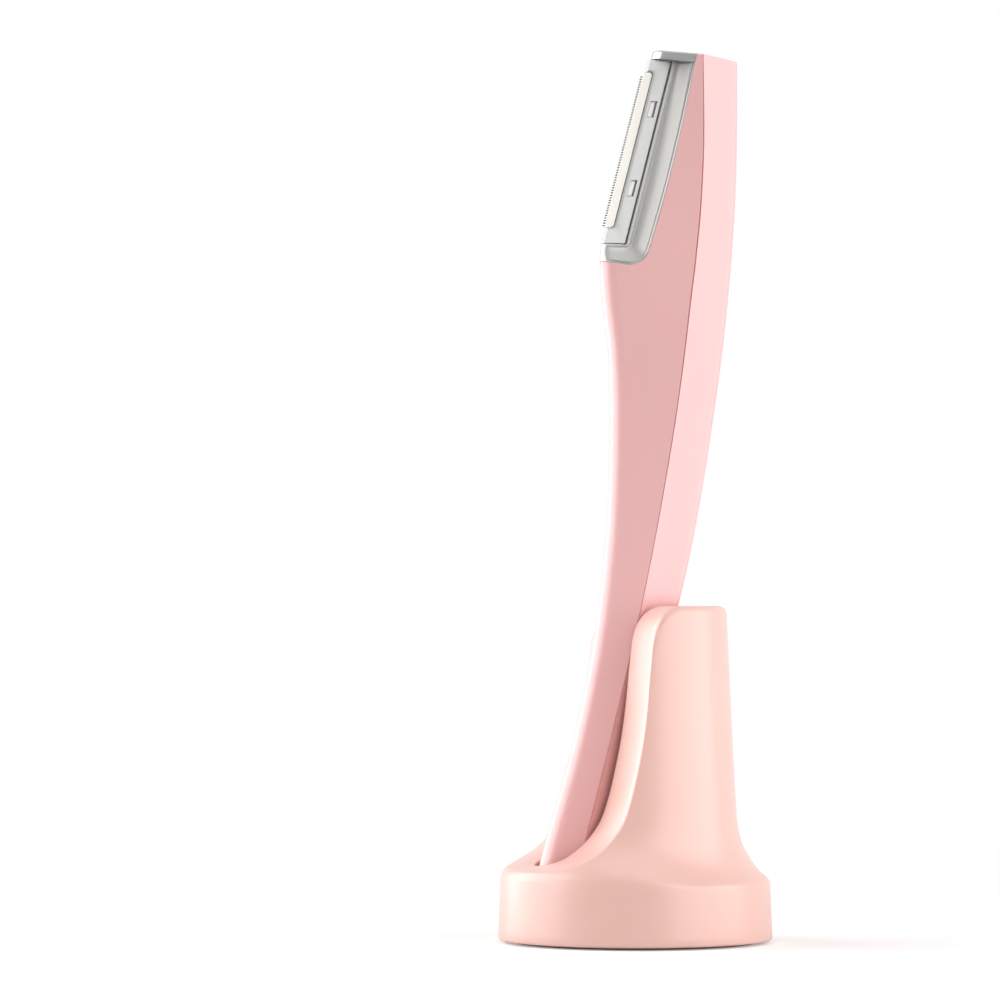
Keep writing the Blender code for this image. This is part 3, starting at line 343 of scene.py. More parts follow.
def pocket_wall(p, z):
    """The pocket's wall at one height: 0 back, 1-2 rear corner, 2-3 side, 3-4 front, 5 nose."""
    half = POCKET_HALF + POCKET_WIDENING * ((z - POCKET_FLOOR) / (POCKET_CEILING - POCKET_FLOOR))
    back = POCKET_BACK + POCKET_LEAN * z
    front = POCKET_FRONT + POCKET_LEAN * z
    rear, nose = POCKET_REAR, min(half - 0.4, POCKET_NOSE)
    if p <= 1:
        return back, (half - rear) * p
    if p <= 2:
        turn = (p - 1) * pi / 2
        return back - rear + rear * cos(turn), half - rear + rear * sin(turn)
    if p <= 3:
        return back - rear + (p - 2) * (front + nose - back + rear), half
    if p <= 4:
        turn = (p - 2) * pi / 2
        return front + nose + nose * cos(turn), half - nose + nose * sin(turn)
    return front, (half - nose) * (5 - p)


def rounded(corner, one, two, radius, steps):
    """Points of the arc that rounds a corner between two directions."""
    half = one.angle(two) / 2
    centre = corner + (one + two).normalized() * radius / sin(half)
    first = (corner + one * radius / tan(half) - centre).normalized()
    last = (corner + two * radius / tan(half) - centre).normalized()
    return [centre + first.slerp(last, k / steps) * radius for k in range(steps + 1)]


def side_point(azimuth, z):
    radius = stand_radius(z, azimuth)
    return Vector((radius * cos(azimuth), radius * sin(azimuth), z))


top_edge = length_where(lambda x, z: x > SCOOP_DEPTHS[-1], 0.0, face_lengths[-1])
front_turn = length_where(lambda x, z: x - POCKET_LEAN * z > POCKET_FRONT + POCKET_NOSE, 0.0, SCOOP_REACH)
lip_start = length_where(lambda x, z: x > SCOOP_DEPTHS[1], 0.0, SCOOP_REACH)

# Rows round the holder from the back to the front: where the side meets the face, and where
# the face meets the pocket
rim_rows = []
inward_at = {}
last_azimuth = acos(SCOOP_DEPTHS[-1] / FLARE_RADII[-1])
last_p = 2 + (POCKET_TOP_BACK - POCKET_REAR - SCOOP_DEPTHS[-1]) / POCKET_TOP_SIDE
for k in range(BACK_ROWS):
    p = last_p * k / BACK_ROWS
    edge = Vector((*pocket_wall(p, STAND_TOP), STAND_TOP))
    rim_rows.append((last_azimuth * k / BACK_ROWS, STAND_TOP, p, edge))
side_start = rim_rows[-1][2]
for k in range(SIDE_ROWS):
    share = k / (SIDE_ROWS - 1)
    x, z = on_face(top_edge + share * (lip_start - top_edge))
    azimuth = pi / 2
    for _ in range(12):
        azimuth = acos(x / stand_radius(z, azimuth))
    within = top_edge + share * (front_turn - top_edge)
    px, pz = on_face(within)
    p = side_start + (3 - side_start) * (k + 1) / SIDE_ROWS
    (x1, z1), (x2, z2) = on_face(within - 0.5), on_face(within + 0.5)
    inward_at[len(rim_rows)] = Vector((z2 - z1, 0.0, x1 - x2)).normalized().lerp(
        Vector((-POCKET_LEAN, 0.0, -1.0)), share ** 6)
    rim_rows.append((azimuth, z, p, Vector((px, pocket_wall(2.5, pz)[1], pz))))
start = rim_rows[-1][0]
for k in range(1, FRONT_ROWS + 1):
    azimuth = start + (pi - start) * k / FRONT_ROWS
    z = rim_rows[-1][1]
    for _ in range(6):
        reach = stand_radius(z, azimuth) * cos(azimuth)
        z = on_face(length_where(lambda x, z: x > reach, 0.0, SCOOP_REACH))[1]
    p = 3 + 2 * k / FRONT_ROWS
    px, pz = on_face(length_where(lambda x, z: x > pocket_wall(p, z)[0], 5.0, SCOOP_REACH))
    rim_rows.append((azimuth, z, p, Vector((px, pocket_wall(p, pz)[1], pz))))


def behind_edge(k):
    """How far a row's edge of the pocket is ahead of the rear corner at the same height."""
    edge = rim_rows[k][3]
    return pocket_wall(2, edge.z)[0] - edge.x


def side_share(p):
    """How far along the pocket's side a place is."""
    return (p - side_start) / (3 - side_start)


# On its way down, the side wall keeps within the narrowest part of the face above it
side_depths = {}
narrow = 100.0
for k in sorted(inward_at, reverse=True):
    narrow = min(narrow, behind_edge(k))
    side_depths[k] = narrow * (0.42 + 0.58 * side_share(rim_rows[k][2]))
first_side = min(inward_at)
for k in range(first_side):
    if rim_rows[k][2] > 2:
        side_depths[k] = side_depths[first_side] * behind_edge(k) / behind_edge(first_side)


def side_column(azimuth, rim_z):
    """Points from the middle of the underside out and up the holder's side to the rim."""
    foot = side_point(azimuth, STAND_FOOT + FOOT_ROUND)
    out = Vector((cos(azimuth), sin(azimuth), 0.0))
    column = [Vector((0.0, 0.0, STAND_FOOT)), out * (FOOT_RADIUS - 4.0)]
    column[1].z = STAND_FOOT
    for j in range(5):
        turn = pi / 2 * j / 4
        column.append(foot - out * FOOT_ROUND * (1 - sin(turn))
                      - Vector((0, 0, FOOT_ROUND * cos(turn))))
    crease = min(FLARE_START + flare_lift(azimuth), rim_z - 0.8)
    for j in range(1, 9):
        column.append(side_point(azimuth, foot.z + (crease - 0.8 - foot.z) * j / 8))
    for j in range(1, 9):
        column.append(side_point(azimuth, crease - 0.8 + min(2.4, rim_z - crease) * j / 8))
    start_z = column[-1].z
    for j in range(1, 30):
        column.append(side_point(azimuth, start_z + (rim_z - start_z) * (j / 30) ** 1.3))
    return column


def pocket_column(k, p, mouth):
    """Points from the pocket's mouth down its wall, and in along its floor."""
    x, y = pocket_wall(p, POCKET_FLOOR)
    if k in side_depths:
        x = pocket_wall(2, POCKET_FLOOR)[0] - side_depths[k]
    floor_spot = Vector((x, y, POCKET_FLOOR))
    bend_z = mouth.z - 0.3 - 2.2 * (1 - share_of(side_share(p)))
    bend = mouth.lerp(floor_spot, (mouth.z - bend_z) / (mouth.z - POCKET_FLOOR))
    if k in side_depths:
        bend = Vector((pocket_wall(2, bend_z)[0] - side_depths[k], pocket_wall(2.5, bend_z)[1], bend_z))
    column = [mouth.lerp(bend, j / 6) for j in range(1, 7)]
    column += [bend.lerp(floor_spot, j / 10) for j in range(1, 11)]
    middle = POCKET_FLOOR * POCKET_LEAN + (POCKET_BACK + POCKET_FRONT) / 2
    for share in (0.5, 1.0):
        column.append(Vector((x + (middle - x) * 0.2 * share, y * (1 - share), POCKET_FLOOR)))
    return column


rim_points = [side_point(azimuth, z) for azimuth, z, p, edge in rim_rows]
stand_rows = []
for k, (azimuth, z, p, edge) in enumerate(rim_rows):
    ahead, behind = rim_points[min(k + 1, len(rim_points) - 1)], rim_points[max(k - 1, 0)]
    run = ahead - behind
    if k in (0, len(rim_rows) - 1):
        run = Vector((0.0, run.y, 0.0))
    slope = Vector((1.0, 0.0, 0.0))
    if z < STAND_TOP and abs(ahead.x - behind.x) > 0.01:
        slope = Vector((ahead.x - behind.x, 0.0, ahead.z - behind.z)).normalized()
    inward = slope.cross(Vector((0.0, 1.0, 0.0))).cross(run).normalized()
    if inward.dot(rim_points[k]) > 0:
        inward.negate()
    down = (side_point(azimuth, z - 1.0) - rim_points[k]).normalized()
    rim = rounded(rim_points[k], down, inward, RIM_ROUND, 10)
    below = Vector((*pocket_wall(p, edge.z - 1), edge.z - 1))
    if k in inward_at:
        below = edge + inward_at[k]
        below.y = pocket_wall(2.5, below.z)[1]
    mouth = rounded(edge, (rim[-1] - edge).normalized(), (below - edge).normalized(),
                    POCKET_ROUND, 4)
    stand_rows.append(side_column(azimuth, rim[0].z) + rim
                      + [rim[-1].lerp(mouth[0], j / 14) for j in range(1, 14)]
                      + mouth + pocket_column(k, p, mouth[-1]))

stand_shape = bmesh.new()
lay(stand_shape, len(stand_rows) - 1, len(stand_rows[0]) - 1, lambda i, j: stand_rows[i][j])
both_sides(stand_shape)


def new_group(name, inputs, outputs):
    """Node group with named inputs, as (label, kind, value), and named outputs."""
    group = bpy.data.node_groups.new(name, "ShaderNodeTree")
    for label, kind, value in inputs:
        socket = group.interface.new_socket(label, in_out="INPUT", socket_type="NodeSocket" + kind)
        socket.default_value = value
    for label, kind in outputs:
        group.interface.new_socket(label, in_out="OUTPUT", socket_type="NodeSocket" + kind)
    return group.nodes.new("NodeGroupInput"), group.nodes.new("NodeGroupOutput"), group


def noise_node(tree, place, scale, detail):
    """Noise over a place, even and grey."""
    return new_node(tree, "TexNoise", {"Vector": place, "Scale": scale, "Detail": detail}).outputs["Fac"]


def tinted(tree, colour, amount, noise):
    """Colour made lighter and darker by a noise."""
    change = math_node(tree, "MULTIPLY", math_node(tree, "SUBTRACT", noise, 0.5), amount)
    scale = math_node(tree, "ADD", change, 1.0)
    return new_node(tree, "VectorMath", {0: colour, "Scale": scale}, operation="SCALE").outputs[0]


# Moulded surface: the mould's fine grain, a faint cloudiness in the colour, and handling haze
source, sink, group = new_group(
    "moulded_surface",
    (("Colour", "Color", (0.8, 0.8, 0.8, 1.0)), ("Roughness", "Float", 0.4),
     ("Grain per Metre", "Float", 3000.0), ("Cloudiness", "Float", 0.04), ("Haze", "Float", 0.12)),
    (("Colour", "Color"), ("Roughness", "Float"), ("Height", "Float")))
given = source.outputs
spot = new_node(group, "TexCoord", {}).outputs["Object"]
grain = noise_node(group, spot, given["Grain per Metre"], 2.0)
clouds = noise_node(group, spot, 70.0, 3.0)
smudges = noise_node(group, spot, 210.0, 4.0)
cloudy = tinted(group, given["Colour"], given["Cloudiness"], clouds)
haze = math_node(group, "MULTIPLY", math_node(group, "SUBTRACT", smudges, 0.5), given["Haze"])
set_inputs(group, sink, {
    "Colour": tinted(group, cloudy, math_node(group, "MULTIPLY", given["Cloudiness"], 0.5), grain),
    "Roughness": math_node(group, "ADD", given["Roughness"], haze), "Height": grain})


def surface(name, effect, values, depth, metal=0.0, coat=(0.0, 0.2), glow=(0.0, 1.0, 0.4, 0.3)):
    """Material with its colour, roughness and relief from one of the effect groups."""
    material = bpy.data.materials.new(name)
    material.use_nodes = True
    tree = material.node_tree
    look = new_node(tree, "Group", values, node_tree=bpy.data.node_groups[effect]).outputs
    relief = new_node(tree, "Bump", {"Strength": 1.0, "Distance": depth * MM, "Height": look["Height"]})
    shader = set_inputs(tree, tree.nodes["Principled BSDF"], {
        "Base Color": look["Colour"], "Roughness": look["Roughness"], "Metallic": metal,
        "Coat Weight": coat[0], "Coat Roughness": coat[1], "Normal": relief.outputs["Normal"]})
    if glow[0] > 0:
        set_inputs(tree, shader, {"Subsurface Weight": glow[0], "Subsurface Radius": glow[1:],
                                  "Subsurface Scale": 0.003})
    return material


def moulded(name, colour, roughness, grain=3000.0, clouds=0.04, haze=0.12, depth=0.002, **more):
    """Plastic or rubber with a moulded surface."""
    values = {"Colour": (*colour, 1.0), "Roughness": roughness, "Grain per Metre": grain,
              "Cloudiness": clouds, "Haze": haze}
    return surface(name, "moulded_surface", values, depth, **more)


holder_peach = moulded("holder_peach", (0.84, 0.52, 0.455), 0.36, coat=(0.35, 0.25),
                       glow=(0.15, 1.0, 0.4, 0.3))
stand_body = finished("stand_shell", stand_shape, holder_peach)

# Recesses in the underside for the plate and the weight, and the three screw holes
PLATE_RECESS = (23.6, -2.0, 3.9)
WEIGHT_RECESS = (20.6, 3.0, 10.5)
WEIGHT_FLAT = -3.7
SCREW_HOLE = (1.1, 1.0, 15.0)
SCREW_CIRCLE = 19.5

recess = bmesh.new()
rod(recess, *PLATE_RECESS, (0.0, 0.0), 96)
carve(stand_body, recess)
recess = bmesh.new()
rod(recess, *WEIGHT_RECESS, (0.0, 0.0), 96)
bmesh.ops.bisect_plane(recess, geom=recess.verts[:] + recess.edges[:] + recess.faces[:], dist=1e-4,
                       plane_co=(WEIGHT_FLAT, 0, 0), plane_no=(-1, 0, 0), clear_outer=True)
bmesh.ops.holes_fill(recess, edges=recess.edges, sides=0)
carve(stand_body, recess)
for turn in (0.0, 120.0, 240.0):
    hole = bmesh.new()
    rod(hole, *SCREW_HOLE, (SCREW_CIRCLE * cos(radians(turn)), SCREW_CIRCLE * sin(radians(turn))), 24)
    carve(stand_body, hole)
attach(stand_body, "stand")
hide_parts("stand_body", "stand_foot")


# Base. A white plate closes the foot and is held by three screws, a steel weight keeps the
# holder upright, and a rubber pad is stuck on underneath.

def dressed(material, *names):
    """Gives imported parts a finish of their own."""
    for name in names:
        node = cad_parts[name]
        if not node.data.materials:
            node.data.materials.append(material)
        for slot in node.material_slots:
            slot.material = material


# Worked metal: fine streaks along the way it was brushed or turned, and a faint stain
source, sink, group = new_group(
    "worked_metal",
    (("Colour", "Color", (0.6, 0.6, 0.6, 1.0)), ("Roughness", "Float", 0.3),
     ("Streaks per Metre", "Vector", (200.0, 200.0, 4000.0)), ("Contrast", "Float", 0.08)),
    (("Colour", "Color"), ("Roughness", "Float"), ("Height", "Float")))
given = source.outputs
spot = new_node(group, "TexCoord", {}).outputs["Object"]
drawn = new_node(group, "VectorMath", {0: spot, 1: given["Streaks per Metre"]}, operation="MULTIPLY")
streaks = noise_node(group, drawn.outputs[0], 1.0, 3.0)
stain = noise_node(group, spot, 160.0, 3.0)
streaked = tinted(group, given["Colour"], given["Contrast"], streaks)
uneven = math_node(group, "MULTIPLY", math_node(group, "SUBTRACT", streaks, 0.5),
                   math_node(group, "MULTIPLY", given["Contrast"], 1.5))
set_inputs(group, sink, {
    "Colour": tinted(group, streaked, 0.06, stain), "Height": streaks,
    "Roughness": math_node(group, "ADD", given["Roughness"], uneven)})


def metal(name, colour, roughness, streaks=(300.0, 300.0, 4000.0), contrast=0.08, depth=0.002,
          metal=1.0, **more):
    """Bare, plated or painted metal with its working marks."""
    values = {"Colour": (*colour, 1.0), "Roughness": roughness, "Streaks per Metre": streaks,
              "Contrast": contrast}
    return surface(name, "worked_metal", values, depth, metal=metal, **more)


dressed(moulded("pad_rubber", (0.44, 0.33, 0.28), 0.75, grain=1800, clouds=0.2, depth=0.02),
        "anti_slip_pad")
dressed(moulded("base_white", (0.80, 0.79, 0.76), 0.5, grain=1500, clouds=0.06, depth=0.006),
        "base_plate")
dressed(metal("weight_iron", (0.20, 0.195, 0.19), 0.6, streaks=(500.0, 500.0, 500.0), contrast=0.5,
              depth=0.03), "stand_weight")
dressed(metal("zinc_screw", (0.62, 0.62, 0.60), 0.3, streaks=(2500.0, 2500.0, 2500.0)),
        "base_screw_1", "base_screw_2", "base_screw_3", "nosepiece_screw_1", "nosepiece_screw_2")


# Handle shells. Two pink mouldings that meet along a seam down each side: a front half with a
# rounded nose and a cut-out for the metal head, and a rear half with a flat, softly crowned
# back. They clip together and are finished in a satin soft-touch paint.

WAND_HEIGHTS = (5.5, 20.0, 35.0, 55.0, 64.0, 83.0, 102.0, 111.0, 121.0, 128.0, 140.0, 153.0, 172.0)
WAND_FRONT = (-21.2, -17.5, -12.9, -8.4, -7.0, -5.2, -4.8, -5.2, -6.4, -6.9, -4.1, -0.5, 5.0)
WAND_SEAM = (-14.85, -11.45, -7.45, -2.6, -0.5, 3.2, 6.35, 7.55, 8.75, 9.65, 10.85, 11.4, 11.25)
WAND_SPINE = (-9.4, -4.9, -0.4, 5.3, 8.2, 12.2, 15.25, 16.5, 17.6, 18.25, 19.1, 19.5, 19.6)
WAND_HALF = (4.3, 4.6, 4.9, 5.3, 5.5, 6.1, 6.6, 6.75, 6.9, 7.0, 6.95, 6.85, 6.6)
WAND_FOOT = 5.5
FOOT_EDGE = 0.9
NOSE_RADIUS = 3.2
SPINE_SHARE = 0.70
SPINE_CROWN = 0.25
SPINE_CORNER = 1.6
SEAM_GAP = 0.2
FLANK_DEPTH = 8.0
SHELL_WALL = 0.6
SHELL_EDGE = 0.12
TOP_X = 3.5
TOP_Z = 168.3
TOP_FALL = 0.134
TOP_EDGE = 0.3
EDGE_FOOT_X = 0.95
EDGE_FOOT_Z = 126.95
EDGE_LEAN = 0.25
EDGE_BOW = 0.0018
EDGE_MIDDLE = 147.0
EDGE_RISE = 0.15
EDGE_RADIUS = 3.8
EDGE_ROLL = 0.13
CORNER_BLEND = 15.0
LINE_POINTS = 70
ROLL_STEPS = 4
SKIN_COLUMNS = 40
BLEND_ROWS = 24
FLAT_ROWS = 3
ROUND_ROWS = 4
FOOT_ROWS = 5


def round_step(radius, step, steps):
    """What a rounded edge has still to go, and how far it has come in, at a step round it."""
    turn = pi / 2 * step / steps
    return radius * (1 - sin(turn)), radius * (1 - cos(turn))


def outline(values, z):
    """One of the wand's outline curves at a height, eased over a few millimetres."""
    reach = min(6.0 - 4.5 * share_of((z - 104.0) / 14.0), z - WAND_HEIGHTS[0], WAND_HEIGHTS[-1] - z)
    if reach <= 0:
        return along(WAND_HEIGHTS, values, z)
    return eased(lambda height: along(WAND_HEIGHTS, values, height), z, reach)


def top_height(x):
    """Height of the wand's slanted top."""
    return TOP_Z - TOP_FALL * (x - TOP_X)


def nose_arc(z, inset=0.0):
    """Centre and radius of the nose, and the angle at which the flank leaves it."""
    radius = NOSE_RADIUS - inset
    centre = outline(WAND_FRONT, z) + NOSE_RADIUS
    run = outline(WAND_SEAM, z) - centre
    rise = outline(WAND_HALF, z) - inset
    return centre, radius, atan2(rise, run) + acos(radius / hypot(run, rise))


def front_skin(z, p, inset=0.0):
    """Point of the front shell at a height: p runs from 0 at the seam to 1 at the nose."""
    centre, radius, leave = nose_arc(z, inset)
    start = Vector((centre + radius * cos(leave), radius * sin(leave), z))
    if p <= 0.5:
        seam = Vector((outline(WAND_SEAM, z), outline(WAND_HALF, z) - inset, z))
        return seam.lerp(start, p / 0.5)
    turn = leave + (pi - leave) * (p - 0.5) / 0.5
    return Vector((centre + radius * cos(turn), radius * sin(turn), z))


def skin_place(z, x):
    """The p of a depth on the front shell at a height."""
    centre, radius, leave = nose_arc(z)
    start = centre + radius * cos(leave)
    seam = outline(WAND_SEAM, z)
    if x >= start:
        return 0.5 * (seam - x) / (seam - start)
    return 0.5 + 0.5 * (acos(max((x - centre) / radius, -1.0)) - leave) / (pi - leave)


def line_and_corner(line, foot_z, rise, radius, drop):
    """An edge from the wand's top down a line, round a corner and forward to the nose."""
    corner = Vector((line(foot_z), 0.0, foot_z))
    blend_z = foot_z + CORNER_BLEND
    ahead = (Vector((line(blend_z), 0.0, blend_z)) - corner).normalized()
    forward = Vector((-1.0, 0.0, rise)).normalized()
    arc = rounded(corner, ahead, forward, radius, 20)
    top = TOP_Z
    for _ in range(6):
        top = top_height(line(top)) - drop
    points = []
    for k in range(LINE_POINTS):
        z = top + (arc[0].z - top) * k / LINE_POINTS
        straight = corner + ahead * ((z - corner.z) / ahead.z)
        fade = share_of((blend_z - z) / (blend_z - arc[0].z))
        points.append(Vector((line(z), 0.0, z)).lerp(straight, fade))
    points += arc
    end = arc[-1].copy()
    for _ in range(8):
        end = corner + forward * ((corner.x - outline(WAND_FRONT, end.z) - 1e-4) / -forward.x)
    for k in range(1, 41):
        points.append(end.lerp(arc[-1], (1 - k / 40) ** 2))
    return points


def head_edge(inset, drop):
    """The edge of the head opening, moved in by an inset and begun below the wand's top."""
    foot_z = EDGE_FOOT_Z + inset
    lean = sqrt(1 + EDGE_LEAN ** 2)

    def line(z):
        along_edge = EDGE_LEAN * (z - EDGE_FOOT_Z) - EDGE_BOW * (z - EDGE_MIDDLE) ** 2
        return EDGE_FOOT_X + along_edge - inset * lean

    return line_and_corner(line, foot_z, EDGE_RISE, EDGE_RADIUS - inset, drop)


# The front shell is laid in rows from the seam to the rolled edge of the head opening
roll_edges = []
for k in range(ROLL_STEPS + 1):
    ahead, inset = round_step(EDGE_ROLL, k, ROLL_STEPS)
    path = head_edge(-ahead, TOP_EDGE)
    roll_edges.append([(spot.z, skin_place(spot.z, spot.x), inset) for spot in path])
edge_count = len(roll_edges[0])
top_z, nose_z = roll_edges[0][0][0], roll_edges[0][-1][0]
top_seam = top_height(outline(WAND_SEAM, TOP_Z - 1)) - TOP_EDGE
seam_rows = []
for k in range(edge_count):
    if k <= LINE_POINTS:
        z = roll_edges[0][k][0]
        seam_rows.append(z + (top_seam - top_z) * share_of(1 - (top_z - z) / 12.0))
    else:
        run = 24.0 * (k - LINE_POINTS) / (edge_count - LINE_POINTS - 1)
        seam_rows.append(seam_rows[LINE_POINTS] - run)
low_rows = []
for k in range(1, BLEND_ROWS + 1):
    seam_z = seam_rows[-1] - 12.0 * k / BLEND_ROWS
    low_rows.append((seam_z, nose_z + (seam_z - nose_z) * (k / BLEND_ROWS) ** 0.9))
low_z = low_rows[-1][0]
steps = int((low_z - WAND_FOOT - FOOT_EDGE) / 1.1)
for k in range(1, steps + 1):
    z = low_z + (WAND_FOOT + FOOT_EDGE - low_z) * k / steps
    low_rows.append((z, z))
front_start = 0.5 * (SEAM_GAP / 2) / FLANK_DEPTH


def front_point(row, j):
    """Point of the front shell's outside, from the seam in column 0 on."""
    if row >= edge_count:
        seam_z, end_z = low_rows[row - edge_count]
        end_p, inset = 1.0, 0.0
    else:
        seam_z = seam_rows[row]
        end_z, end_p, inset = roll_edges[max(j - SKIN_COLUMNS, 0)][row]
    share = min(j / SKIN_COLUMNS, 1.0)
    return front_skin(seam_z + (end_z - seam_z) * share, front_start + (end_p - front_start) * share, inset)


def front_spot(i, j):
    """Front shell with its top: the flat rows, the rounded rows and then the outside."""
    top_rows = FLAT_ROWS + ROUND_ROWS
    if i > top_rows:
        return front_point(i - top_rows, j)
    spot = front_point(0, j)
    below, inset = round_step(TOP_EDGE, top_rows - max(i, FLAT_ROWS), ROUND_ROWS)
    spot.z = top_height(spot.x) - below
    spot.y -= inset
    spot.y *= min(i, FLAT_ROWS) / FLAT_ROWS
    return spot


def foot_spot(i, j):
    """The rounded bottom edge and the flat underside of the front shell."""
    above, inset = round_step(FOOT_EDGE, min(i, FOOT_ROWS), FOOT_ROWS)
    p = front_start + (1 - front_start) * min(j / SKIN_COLUMNS, 1.0)
    spot = front_skin(WAND_FOOT + FOOT_EDGE, p, inset)
    spot.z = WAND_FOOT + above
    if i > FOOT_ROWS:
        spot.y = 0.0
    return spot


front_shape = bmesh.new()
lay(front_shape, edge_count + len(low_rows) + FLAT_ROWS + ROUND_ROWS - 1, SKIN_COLUMNS + ROLL_STEPS,
    front_spot)
lay(front_shape, FOOT_ROWS + 1, SKIN_COLUMNS, foot_spot)
both_sides(front_shape)

wand_pink = moulded("wand_pink", (0.93, 0.51, 0.502), 0.34, coat=(0.4, 0.22),
                    glow=(0.12, 1.0, 0.4, 0.35))


def give_wall(piece, wall):
    """Gives a skin its wall thickness inwards."""
    solid = piece.modifiers.new("wall", "SOLIDIFY")
    solid.thickness = wall * MM
    solid.offset = -1.0


def ease_edges(piece, width, limit=50.0):
    """Rounds the crisp edges of a piece."""
    ease = piece.modifiers.new("eased_edges", "BEVEL")
    ease.width = width * MM
    ease.segments = 3
    ease.limit_method = "ANGLE"
    ease.angle_limit = radians(limit)


def obround(shape, length, width, place):
    """Adds a flat outline with round ends, long along X, and returns its face."""
    made = bmesh.ops.create_circle(shape, cap_ends=True, segments=48, radius=width / 2)
    for spot in made["verts"]:
        spot.co.x += (length - width) / 2 * (1 if spot.co.x > 0 else -1)
    bmesh.ops.transform(shape, matrix=place, verts=made["verts"])
    return next(face for face in made["verts"][0].link_faces if len(face.verts) == 48)


def drawn_out(shape, face, reach):
    """Extrudes a face into a solid."""
    made = bmesh.ops.extrude_face_region(shape, geom=[face], use_keep_orig=True)
    fresh = [item for item in made["geom"] if isinstance(item, bmesh.types.BMVert)]
    bmesh.ops.translate(shape, vec=reach, verts=fresh)
    bmesh.ops.recalc_face_normals(shape, faces=shape.faces)


# The opening for the charging socket in the wand's foot, which the two shells share
SOCKET_LENGTH = 8.2
SOCKET_WIDTH = 3.8
foot_lean = atan2(POCKET_LEAN, 1.0)
foot_middle = (along(WAND_HEIGHTS, WAND_FRONT, 8.0) + along(WAND_HEIGHTS, WAND_SPINE, 8.0)) / 2
foot_place = Matrix.Translation((foot_middle - 0.55, 0.0, WAND_FOOT)) @ Matrix.Rotation(foot_lean, 4, "Y")


def socket_opening():
    shape = bmesh.new()
    face = obround(shape, SOCKET_LENGTH, SOCKET_WIDTH, foot_place @ Matrix.Translation((0, 0, -5)))
    drawn_out(shape, face, foot_place.to_3x3() @ Vector((0, 0, 9.0)))
    return shape


front_shell = finished("front_half", front_shape, wand_pink)
give_wall(front_shell, SHELL_WALL)
carve(front_shell, socket_opening(), 55.0)
ease_edges(front_shell, SHELL_EDGE)
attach(front_shell, "wand")
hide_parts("front_shell")


def rear_skin(z, p, inset=0.0):
    """Point of the rear shell at a height: p runs from 0 at the seam to 1 at the spine."""
    seam = Vector((outline(WAND_SEAM, z), outline(WAND_HALF, z) - inset, z))
    back = outline(WAND_SPINE, z) - inset
    knee = Vector((back - SPINE_CROWN, SPINE_SHARE * outline(WAND_HALF, z) - inset, z))
    one = (seam - knee).normalized()
    two = Vector((SPINE_CROWN, -knee.y, 0.0)).normalized()
    start, end = knee + one * SPINE_CORNER, knee + two * SPINE_CORNER
    if p <= 0.4:
        return seam.lerp(start, p / 0.4)
    if p <= 0.7:
        t = (p - 0.4) / 0.3
        return start * (1 - t) ** 2 + knee * 2 * t * (1 - t) + end * t ** 2
    t = (p - 0.7) / 0.3
    return end.lerp(Vector((back, 0.0, z)), t) + Vector((0.10 * t * (1 - t), 0.0, 0.0))


REAR_ROWS = 150
REAR_COLUMNS = 36
REAR_FLAT_ROWS = 4
rear_start = 0.4 * (SEAM_GAP / 2) / FLANK_DEPTH


def drawn_in(spot, j, inset, share):
    """Draws a point of the rear shell's end in towards the line down its middle."""
    seam, back = rear_skin(spot.z, 0.0, inset), rear_skin(spot.z, 1.0, inset)
    spot.x += (seam.x + (back.x - seam.x) * j / REAR_COLUMNS - spot.x) * share
    spot.y *= 1 - share
    return spot


def rear_spot(i, j):
    """Rear shell from its foot up, then the rounded top edge and the flat top."""
    p = rear_start + (1 - rear_start) * j / REAR_COLUMNS
    low = WAND_FOOT + FOOT_EDGE
    high = top_height(rear_skin(165.5, p).x) - TOP_EDGE
    if i <= REAR_ROWS:
        return rear_skin(low + (high - low) * i / REAR_ROWS, p)
    turn = pi / 2 * min((i - REAR_ROWS) / FOOT_ROWS, 1.0)
    spot = rear_skin(high, p, TOP_EDGE * (1 - cos(turn)))
    spot.z = high + TOP_EDGE * sin(turn)
    if i > REAR_ROWS + FOOT_ROWS:
        spot = drawn_in(spot, j, TOP_EDGE, (i - REAR_ROWS - FOOT_ROWS) / REAR_FLAT_ROWS)
        spot.z = top_height(spot.x)
    return spot


def rear_foot_spot(i, j):
    """The rounded bottom edge and the flat underside of the rear shell."""
    above, inset = round_step(FOOT_EDGE, min(i, FOOT_ROWS), FOOT_ROWS)
    p = rear_start + (1 - rear_start) * j / REAR_COLUMNS
    spot = rear_skin(WAND_FOOT + FOOT_EDGE, p, inset)
    if i > FOOT_ROWS:
        spot = drawn_in(spot, j, FOOT_EDGE, 1.0)
    spot.z = WAND_FOOT + above
    return spot


rear_shape = bmesh.new()
lay(rear_shape, REAR_ROWS + FOOT_ROWS + REAR_FLAT_ROWS, REAR_COLUMNS, rear_spot)
lay(rear_shape, FOOT_ROWS + 1, REAR_COLUMNS, rear_foot_spot)
both_sides(rear_shape)
rear_shell = finished("rear_half", rear_shape, wand_pink)
give_wall(rear_shell, SHELL_WALL)
carve(rear_shell, socket_opening(), 55.0)

